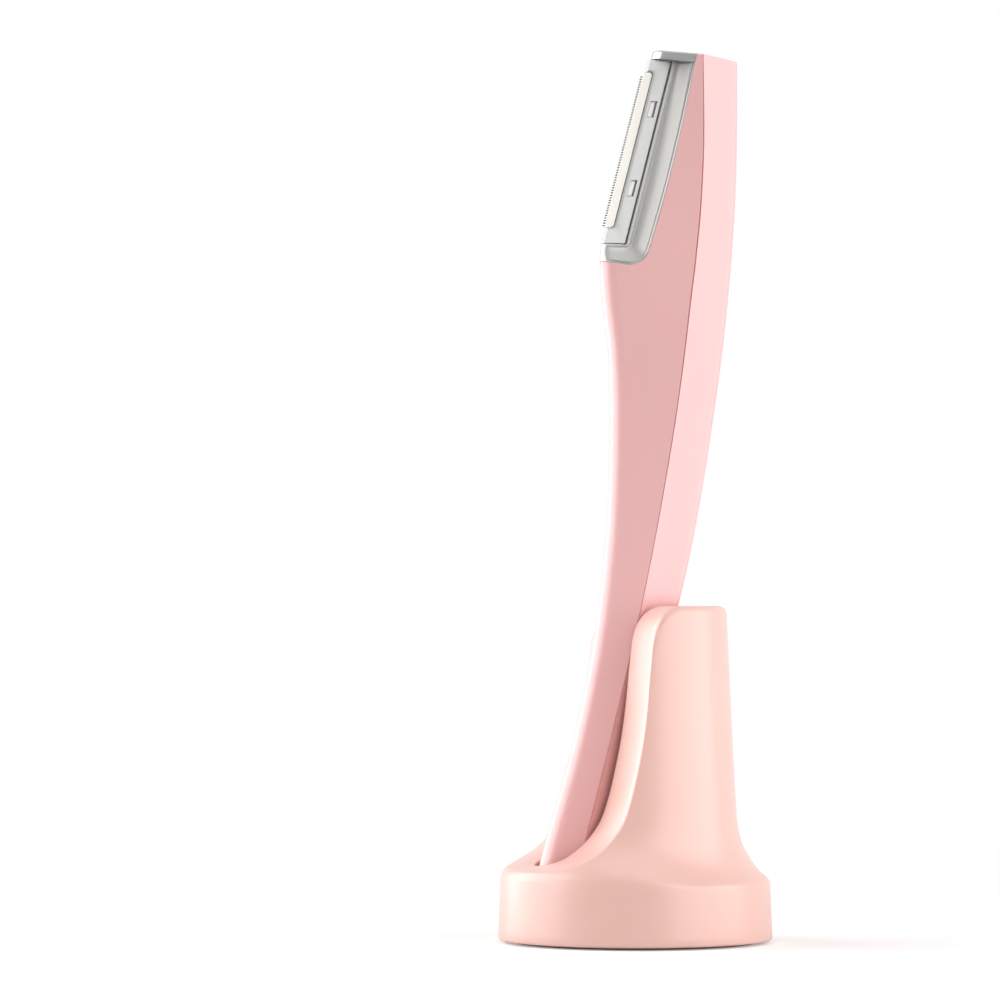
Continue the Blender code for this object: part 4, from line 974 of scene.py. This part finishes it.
# Openings for the button and the indicator lens, square to the back
BUTTON_LENGTH = 9.0
BUTTON_WIDTH = 4.0
BUTTON_GAP = 0.3
LENS_LENGTH = 1.82
LENS_WIDTH = 1.8
LENS_PLACE = 9.5
spine_place = (Matrix.Translation((15.35, 0.0, 103.0)) @ Matrix.Rotation(radians(7.95), 4, "Y")
               @ Matrix.Rotation(pi / 2, 4, "Y") @ Matrix.Rotation(pi, 4, "Z"))
for length, width, place in ((BUTTON_LENGTH + 2 * BUTTON_GAP, BUTTON_WIDTH + 2 * BUTTON_GAP, 0.0),
                             (LENS_LENGTH, LENS_WIDTH, LENS_PLACE)):
    opening = bmesh.new()
    face = obround(opening, length, width, spine_place @ Matrix.Translation((place, 0, -4)))
    drawn_out(opening, face, spine_place.to_3x3() @ Vector((0, 0, 8)))
    carve(rear_shell, opening, 55.0)
ease_edges(rear_shell, SHELL_EDGE)
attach(rear_shell, "wand")
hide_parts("rear_shell")


# Power button and indicator. The button is a soft-edged cap in a deeper pink that stands
# flush in the back of the handle; the indicator is a small clear lens above it.

def round_off(shape, edges, offset, segments):
    """Rounds some of a shape's edges."""
    bmesh.ops.bevel(shape, geom=edges, offset=offset, segments=segments, profile=0.5, affect="EDGES",
                    material=-1)


button_shape = bmesh.new()
cap = obround(button_shape, BUTTON_LENGTH, BUTTON_WIDTH, spine_place @ Matrix.Translation((0, 0, -1.2)))
drawn_out(button_shape, cap, spine_place.to_3x3() @ Vector((0, 0, 1.25)))
top_ring = [edge for edge in button_shape.edges
            if all((spine_place.inverted() @ spot.co).z > 0 for spot in edge.verts)]
round_off(button_shape, top_ring, 0.35, 4)
stem = obround(button_shape, 2.4, 1.8, spine_place @ Matrix.Translation((0, 0, -1.75)))
drawn_out(button_shape, stem, spine_place.to_3x3() @ Vector((0, 0, 0.54)))
button = finished("button_cap", button_shape,
                  moulded("button_pink", (0.74, 0.36, 0.36), 0.45, grain=2200, depth=0.004), 40.0)
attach(button, "power_button")
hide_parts("power_button")

dressed(moulded("lens_clear", (0.88, 0.88, 0.86), 0.12, grain=900, clouds=0.03, haze=0.05,
                coat=(0.6, 0.05)), "indicator_lens")


# Head. A die-cast nosepiece in satin silver fills the cut-out: a coved channel runs down its
# side and round the corner to the chin, a raised rib edges the flat seat of the cartridge,
# and a brushed lip closes the top. A white latch plate stands in the bay.

LIP = 1.7
LIP_OVERLAP = 0.15
COVE_POWER = 1.7
HEAD_GAP = 0.05
FLANGE_INSETS = (1.2, 0.4, 0.05)
SEAT_HALF = 1.5
SEAT_ROUND = 0.12
RIB = 0.22
RIB_STEP = 0.07
RIB_SPREAD = 0.16
RIB_RISE = 0.055
RIB_REACH = 5.1
RIB_FOOT = 131.0
RIB_CORNER = 1.25
WALL_REACH = 4.38
WALL_FOOT = 131.28
WALL_CORNER = 0.5
CARTRIDGE_FOOT_X = -6.5
CARTRIDGE_FOOT_Z = 131.5
CARTRIDGE_LEAN = 0.268
CARTRIDGE_DEPTH = 4.25
COVE_COLUMNS = 26


def skin_half(z, x):
    """Half thickness of the wand at a point ahead of the seam."""
    centre, radius, leave = nose_arc(z)
    start = centre + radius * cos(leave)
    if x <= start:
        return sqrt(max(radius ** 2 - (x - centre) ** 2, 0.0))
    share = (x - start) / (outline(WAND_SEAM, z) - start)
    low = radius * sin(leave)
    return low + share * (outline(WAND_HALF, z) - low)


def blade_line(reach):
    """Line that leans with the blade, at a reach behind the cartridge's front."""
    return lambda z: CARTRIDGE_FOOT_X + CARTRIDGE_LEAN * (z - CARTRIDGE_FOOT_Z) + reach


under_lip = LIP - LIP_OVERLAP
rim_path = head_edge(HEAD_GAP, under_lip)
rib_path = line_and_corner(blade_line(RIB_REACH), RIB_FOOT, 0.0, RIB_CORNER, under_lip)
wall_path = line_and_corner(blade_line(WALL_REACH), WALL_FOOT, 0.0, WALL_CORNER, under_lip)


def head_spot(i, j):
    """Head surface: sunk flange, rim, coved channel, rib, flat seat and the bay's wall."""
    rim, rib, wall = rim_path[i], rib_path[i], wall_path[i]
    if j < len(FLANGE_INSETS):
        return front_skin(rim.z, skin_place(rim.z, rim.x), FLANGE_INSETS[j])
    j -= len(FLANGE_INSETS)
    crisp = 4.0
    if j <= COVE_COLUMNS:
        s = j / COVE_COLUMNS
        s = s + 0.25 * s * (1 - s) * (2 * s - 1)
        spot = rim.lerp(rib, s)
        rise = max(skin_half(rim.z, rim.x) - 0.01, SEAT_HALF + 0.4) - SEAT_HALF
        y = SEAT_HALF + rise * (1 - s) ** COVE_POWER + RIB * exp(-((1 - s) / RIB_RISE) ** 2)
        crisp += 60.0 * (1 - s) ** 6
    elif j <= COVE_COLUMNS + 6:
        run = (wall - rib).length
        way = min(RIB_STEP * (j - COVE_COLUMNS), max(run - SEAT_ROUND, 0.0))
        spot = rib.lerp(wall, way / max(run, 1e-6))
        y = SEAT_HALF + RIB * exp(-(way / RIB_SPREAD) ** 2)
    elif j <= COVE_COLUMNS + 10:
        ahead, under = round_step(SEAT_ROUND, j - COVE_COLUMNS - 7, 3)
        spot = wall.lerp(rib, ahead / max((wall - rib).length, SEAT_ROUND))
        y = SEAT_HALF - under
    else:
        spot, y = wall, 0.9 * (COVE_COLUMNS + 12 - j)
    if i == len(rim_path) - 1:
        return Vector((outline(WAND_FRONT, spot.z), 0.0, spot.z))
    nose = max(skin_half(spot.z, spot.x), 1e-3)
    return Vector((spot.x, max(y, 0.0) * (1 + (max(y, 0.0) / nose) ** crisp) ** (-1 / crisp), spot.z))


head_shape = bmesh.new()
lay(head_shape, len(rim_path) - 1, len(FLANGE_INSETS) + COVE_COLUMNS + 12, head_spot)
both_sides(head_shape)
satin_silver = metal("satin_silver", (0.45, 0.445, 0.43), 0.42, streaks=(900.0, 900.0, 900.0),
                     contrast=0.05, depth=0.001, metal=0.28)
head = finished("head_casting", head_shape, satin_silver, 50.0)
give_wall(head, 0.5)
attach(head, "wand")
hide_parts("nosepiece")

# The lip: a slab cut to the wand's own outline, with its side brushed along its length
LIP_INSET = 0.9
lip_edge = skin_place(166.5, head_edge(HEAD_GAP, LIP / 2)[0].x)
lip_profile = [(9.0, 0.0), (LIP_INSET, 0.0)]
lip_profile += [round_step(0.12, k, 4) for k in range(5)]
lip_profile += [(0.0, LIP * k / 4) for k in range(1, 4)]
lip_profile += [(inset, LIP - below) for below, inset in (round_step(0.3, k, 6) for k in range(7))]
lip_profile += [(LIP_INSET, LIP), (9.0, LIP)]


def lip_spot(i, j):
    """Lip surface: in each row, the profile from the underside out and over the top."""
    inset, up = lip_profile[j]
    p = lip_edge + (1 - lip_edge) * max(i - 1, 0) / 40
    spot = front_skin(167.0, p, min(inset, LIP_INSET))
    spot = front_skin(top_height(spot.x) - LIP + up, p, min(inset, LIP_INSET))
    if i <= 1:
        spot.x = front_skin(spot.z, p).x
    if i == 0 or inset > 1:
        spot.y = 0.0
    spot.z = top_height(spot.x) - LIP + up
    return spot


lip_shape = bmesh.new()
lay(lip_shape, 41, len(lip_profile) - 1, lip_spot)
both_sides(lip_shape)
lip = finished("head_lip", lip_shape,
               metal("brushed_silver", (0.34, 0.34, 0.335), 0.26, streaks=(150.0, 150.0, 7000.0),
                     contrast=0.28, depth=0.003, metal=0.9), 50.0)
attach(lip, "wand")
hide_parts("nosepiece")


CLIP_HEIGHTS = (140.45, 155.5)
CLIP_TALL = 3.05
CLIP_START = 2.1
CLIP_END = 3.4
CLIP_GAP = 0.12
LATCH_LOW = 132.5
LATCH_HIGH = 164.6
LATCH_FRONT = 2.2
LATCH_CORNER = 0.6


def leaning(shape, spots, half):
    """Adds a plate with a side outline, given as (reach, height), on the blade's lean."""
    corners = [shape.verts.new((blade_line(reach)(z), -half, z)) for reach, z in spots]
    drawn_out(shape, shape.faces.new(corners), (0.0, 2 * half, 0.0))


def upright(front, back, low, high):
    """Side outline of an upright block on the blade's lean."""
    return (front, low), (back, low), (back, high), (front, high)


latch_shape = bmesh.new()
leaning(latch_shape, ((LATCH_FRONT, LATCH_LOW + LATCH_CORNER), (LATCH_FRONT + LATCH_CORNER, LATCH_LOW),
                      (WALL_REACH + 0.3, LATCH_LOW), (WALL_REACH + 0.3, LATCH_HIGH),
                      (LATCH_FRONT + LATCH_CORNER, LATCH_HIGH), (LATCH_FRONT, LATCH_HIGH - LATCH_CORNER)),
        0.45)
for z in CLIP_HEIGHTS:
    leaning(latch_shape, upright(CLIP_START + CLIP_GAP, CLIP_END - 0.3, z + CLIP_GAP,
                                 z + CLIP_TALL - CLIP_GAP), 0.74)
latch = finished("latch_plate", latch_shape,
                 moulded("latch_white", (0.93, 0.93, 0.91), 0.35, grain=1500, clouds=0.03), 30.0)
ease_edges(latch, 0.06, 30.0)
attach(latch, "wand")
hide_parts("nosepiece")


# Blade cartridge. A silver plastic holder with two clip windows slides over the latch plate;
# a cream coated blade is moulded into the notch in its front, behind a comb of fine steel
# guard wires that keeps the skin off the cutting edge.

PLATE_HALF = 1.1
PLATE_TOP = 166.5
PLATE_FALL = 0.62
NOTCH_LOW = 134.4
NOTCH_HIGH = 164.15
NOTCH_DEPTH = 1.25
NOTCH_ROUND = 0.75
BLADE_EDGE = -0.6
BLADE_GAP = 0.13
GUARD_PITCH = 0.48
GUARD_WIRE = 0.12
GUARD_WIDTH = 0.8
GUARD_REACH = -0.66


def turned_corner(before, corner, after, radius, steps=6):
    """Corner of a side outline, rounded, as (reach, height) points."""
    spots = [Vector((reach, 0.0, z)) for reach, z in (before, corner, after)]
    arc = rounded(spots[1], (spots[0] - spots[1]).normalized(), (spots[2] - spots[1]).normalized(),
                  radius, steps)
    return [(spot.x, spot.z) for spot in arc]


plate_low = CARTRIDGE_FOOT_Z + 0.02
notch = turned_corner((0, NOTCH_LOW), (NOTCH_DEPTH, NOTCH_LOW), (NOTCH_DEPTH, NOTCH_HIGH), NOTCH_ROUND)
notch += turned_corner((NOTCH_DEPTH, NOTCH_LOW), (NOTCH_DEPTH, NOTCH_HIGH), (0, NOTCH_HIGH), NOTCH_ROUND)
plate_shape = bmesh.new()
leaning(plate_shape, [(0, plate_low), (0, NOTCH_LOW)] + notch
        + [(0, NOTCH_HIGH), (0, PLATE_TOP), (CARTRIDGE_DEPTH, PLATE_TOP - PLATE_FALL),
           (CARTRIDGE_DEPTH, plate_low)], PLATE_HALF)


def flat_edges(shape, test):
    """Edges of a plate's two broad faces that pass a test of (reach, height) at both ends."""
    found = []
    for edge in shape.edges:
        ends = [(spot.co.x - blade_line(0)(spot.co.z), spot.co.z) for spot in edge.verts]
        if abs(edge.verts[0].co.y - edge.verts[1].co.y) < 1e-3 and all(test(*end) for end in ends):
            found.append(edge)
    return found


round_off(plate_shape, flat_edges(plate_shape, lambda reach, z: reach > CARTRIDGE_DEPTH - 0.1), 0.3, 5)
round_off(plate_shape, flat_edges(plate_shape, lambda reach, z: NOTCH_LOW - 0.01 < z < NOTCH_HIGH + 0.01),
          0.36, 3)
cartridge_silver = metal("cartridge_silver", (0.44, 0.442, 0.43), 0.42, streaks=(700.0, 700.0, 2500.0),
                         contrast=0.05, depth=0.001, metal=0.35)
plate = finished("cartridge_plate", plate_shape, cartridge_silver, 40.0)
slot_shape = bmesh.new()
leaning(slot_shape, upright(1.85, 6.0, 128.0, 172.0), 0.8)
carve(plate, slot_shape)
window_shape = bmesh.new()
for z in CLIP_HEIGHTS:
    leaning(window_shape, upright(CLIP_START, CLIP_END, z, z + CLIP_TALL), 3.0)
carve(plate, window_shape)
ease_edges(plate, 0.1)
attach(plate, "cartridge")
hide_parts("cartridge_body")

# The blade: flat, with rounded rear corners, and ground to a thin edge in front
back = NOTCH_DEPTH - BLADE_GAP
low, high = NOTCH_LOW + BLADE_GAP, NOTCH_HIGH - BLADE_GAP
blade_spots = turned_corner((back, high), (BLADE_EDGE, high), (BLADE_EDGE, low), 0.25, 4)
blade_spots += turned_corner((BLADE_EDGE, high), (BLADE_EDGE, low), (back, low), 0.5, 5)
blade_spots += turned_corner((BLADE_EDGE, low), (back, low), (back, high), 0.62)
blade_spots += turned_corner((back, low), (back, high), (BLADE_EDGE, high), 0.62)
blade_shape = bmesh.new()
leaning(blade_shape, blade_spots, 0.72)
round_off(blade_shape, flat_edges(blade_shape, lambda reach, z: reach < BLADE_EDGE + 0.01), 0.45, 2)
blade = finished("coated_blade_strip", blade_shape,
                 metal("cream_coating", (0.93, 0.90, 0.84), 0.32, streaks=(600.0, 600.0, 3500.0),
                       contrast=0.04, depth=0.001, metal=0.0, coat=(0.3, 0.15)), 35.0)
ease_edges(blade, 0.06)
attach(blade, "cartridge")
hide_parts("cartridge_blade")

guard_shape = bmesh.new()
for k in range(int((high - low - 0.5) / GUARD_PITCH)):
    z = low + 0.35 + GUARD_PITCH * k
    bmesh.ops.create_cone(guard_shape, cap_ends=True, segments=12, radius1=GUARD_WIRE,
                          radius2=GUARD_WIRE, depth=GUARD_WIDTH,
                          matrix=Matrix.Translation((blade_line(GUARD_REACH)(z), 0.0, z))
                          @ Matrix.Rotation(pi / 2, 4, "X"))
guard = finished("guard_comb", guard_shape,
                 metal("dark_steel", (0.03, 0.026, 0.022), 0.7, streaks=(3000.0, 3000.0, 3000.0),
                       metal=0.9), 40.0)
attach(guard, "cartridge")
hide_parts("cartridge_guard")


# Inside the handle. A white chassis holds the foil-wrapped cell and a green board with the
# switch and the indicator's lamp; red and black leads join them to the charging socket in the
# foot and to the vibration motor, which sits in a rubber sleeve on a bracket behind the head.

dressed(moulded("chassis_white", (0.82, 0.81, 0.78), 0.5, grain=1200, clouds=0.06, depth=0.006),
        "inner_chassis", "head_bracket")
dressed(metal("cell_foil", (0.66, 0.67, 0.69), 0.28, streaks=(420.0, 420.0, 260.0), contrast=0.16,
              depth=0.02), "battery_cell")
dressed(metal("socket_plating", (0.64, 0.64, 0.62), 0.25, streaks=(400.0, 400.0, 3000.0)),
        "charge_socket")
dressed(metal("motor_steel", (0.52, 0.53, 0.54), 0.3, streaks=(250.0, 250.0, 5000.0), contrast=0.12),
        "motor_can", "motor_shaft")
dressed(metal("turned_brass", (0.72, 0.55, 0.27), 0.3, streaks=(250.0, 250.0, 5000.0), contrast=0.12),
        "eccentric_weight")
dressed(moulded("sleeve_rubber", (0.05, 0.05, 0.052), 0.75, grain=1800, clouds=0.2, depth=0.02),
        "motor_sleeve")
dressed(moulded("switch_black", (0.03, 0.03, 0.032), 0.45, grain=2000, clouds=0.15), "tactile_switch")
dressed(moulded("lead_black", (0.03, 0.03, 0.032), 0.4, grain=1500, clouds=0.15),
        "charge_lead_black", "battery_lead_black", "motor_lead_black")
dressed(moulded("lead_red", (0.55, 0.03, 0.03), 0.4, grain=1500, clouds=0.12),
        "charge_lead_red", "battery_lead_red", "motor_lead_red")
dressed(moulded("lamp_body", (0.88, 0.86, 0.70), 0.25, grain=1500, clouds=0.05, coat=(0.5, 0.1)),
        "indicator_led")

# Circuit board: green solder resist with paler copper runs under it
board_green = moulded("board_green", (0.03, 0.20, 0.09), 0.35, grain=1600, clouds=0.1, coat=(0.4, 0.2))
tree = board_green.node_tree
spot = new_node(tree, "TexCoord", {}).outputs["Object"]
turned = new_node(tree, "VectorRotate", {"Vector": spot, "Angle": pi / 2}, rotation_type="X_AXIS")
grid = new_node(tree, "TexBrick", {
    "Vector": turned.outputs["Vector"], "Scale": 420.0, "Mortar Size": 0.06, "Mortar": WHITE,
    "Color1": (0.0, 0.0, 0.0, 1.0), "Color2": (0.0, 0.0, 0.0, 1.0)})
shader = tree.nodes["Principled BSDF"]
plain = shader.inputs["Base Color"].links[0].from_socket
runs = new_node(tree, "Mix", {"Factor": grid.outputs["Color"], "A": plain, "B": (0.10, 0.34, 0.16, 1.0)},
                data_type="RGBA")
set_inputs(tree, shader, {"Base Color": runs.outputs["Result"]})
dressed(board_green, "circuit_board")
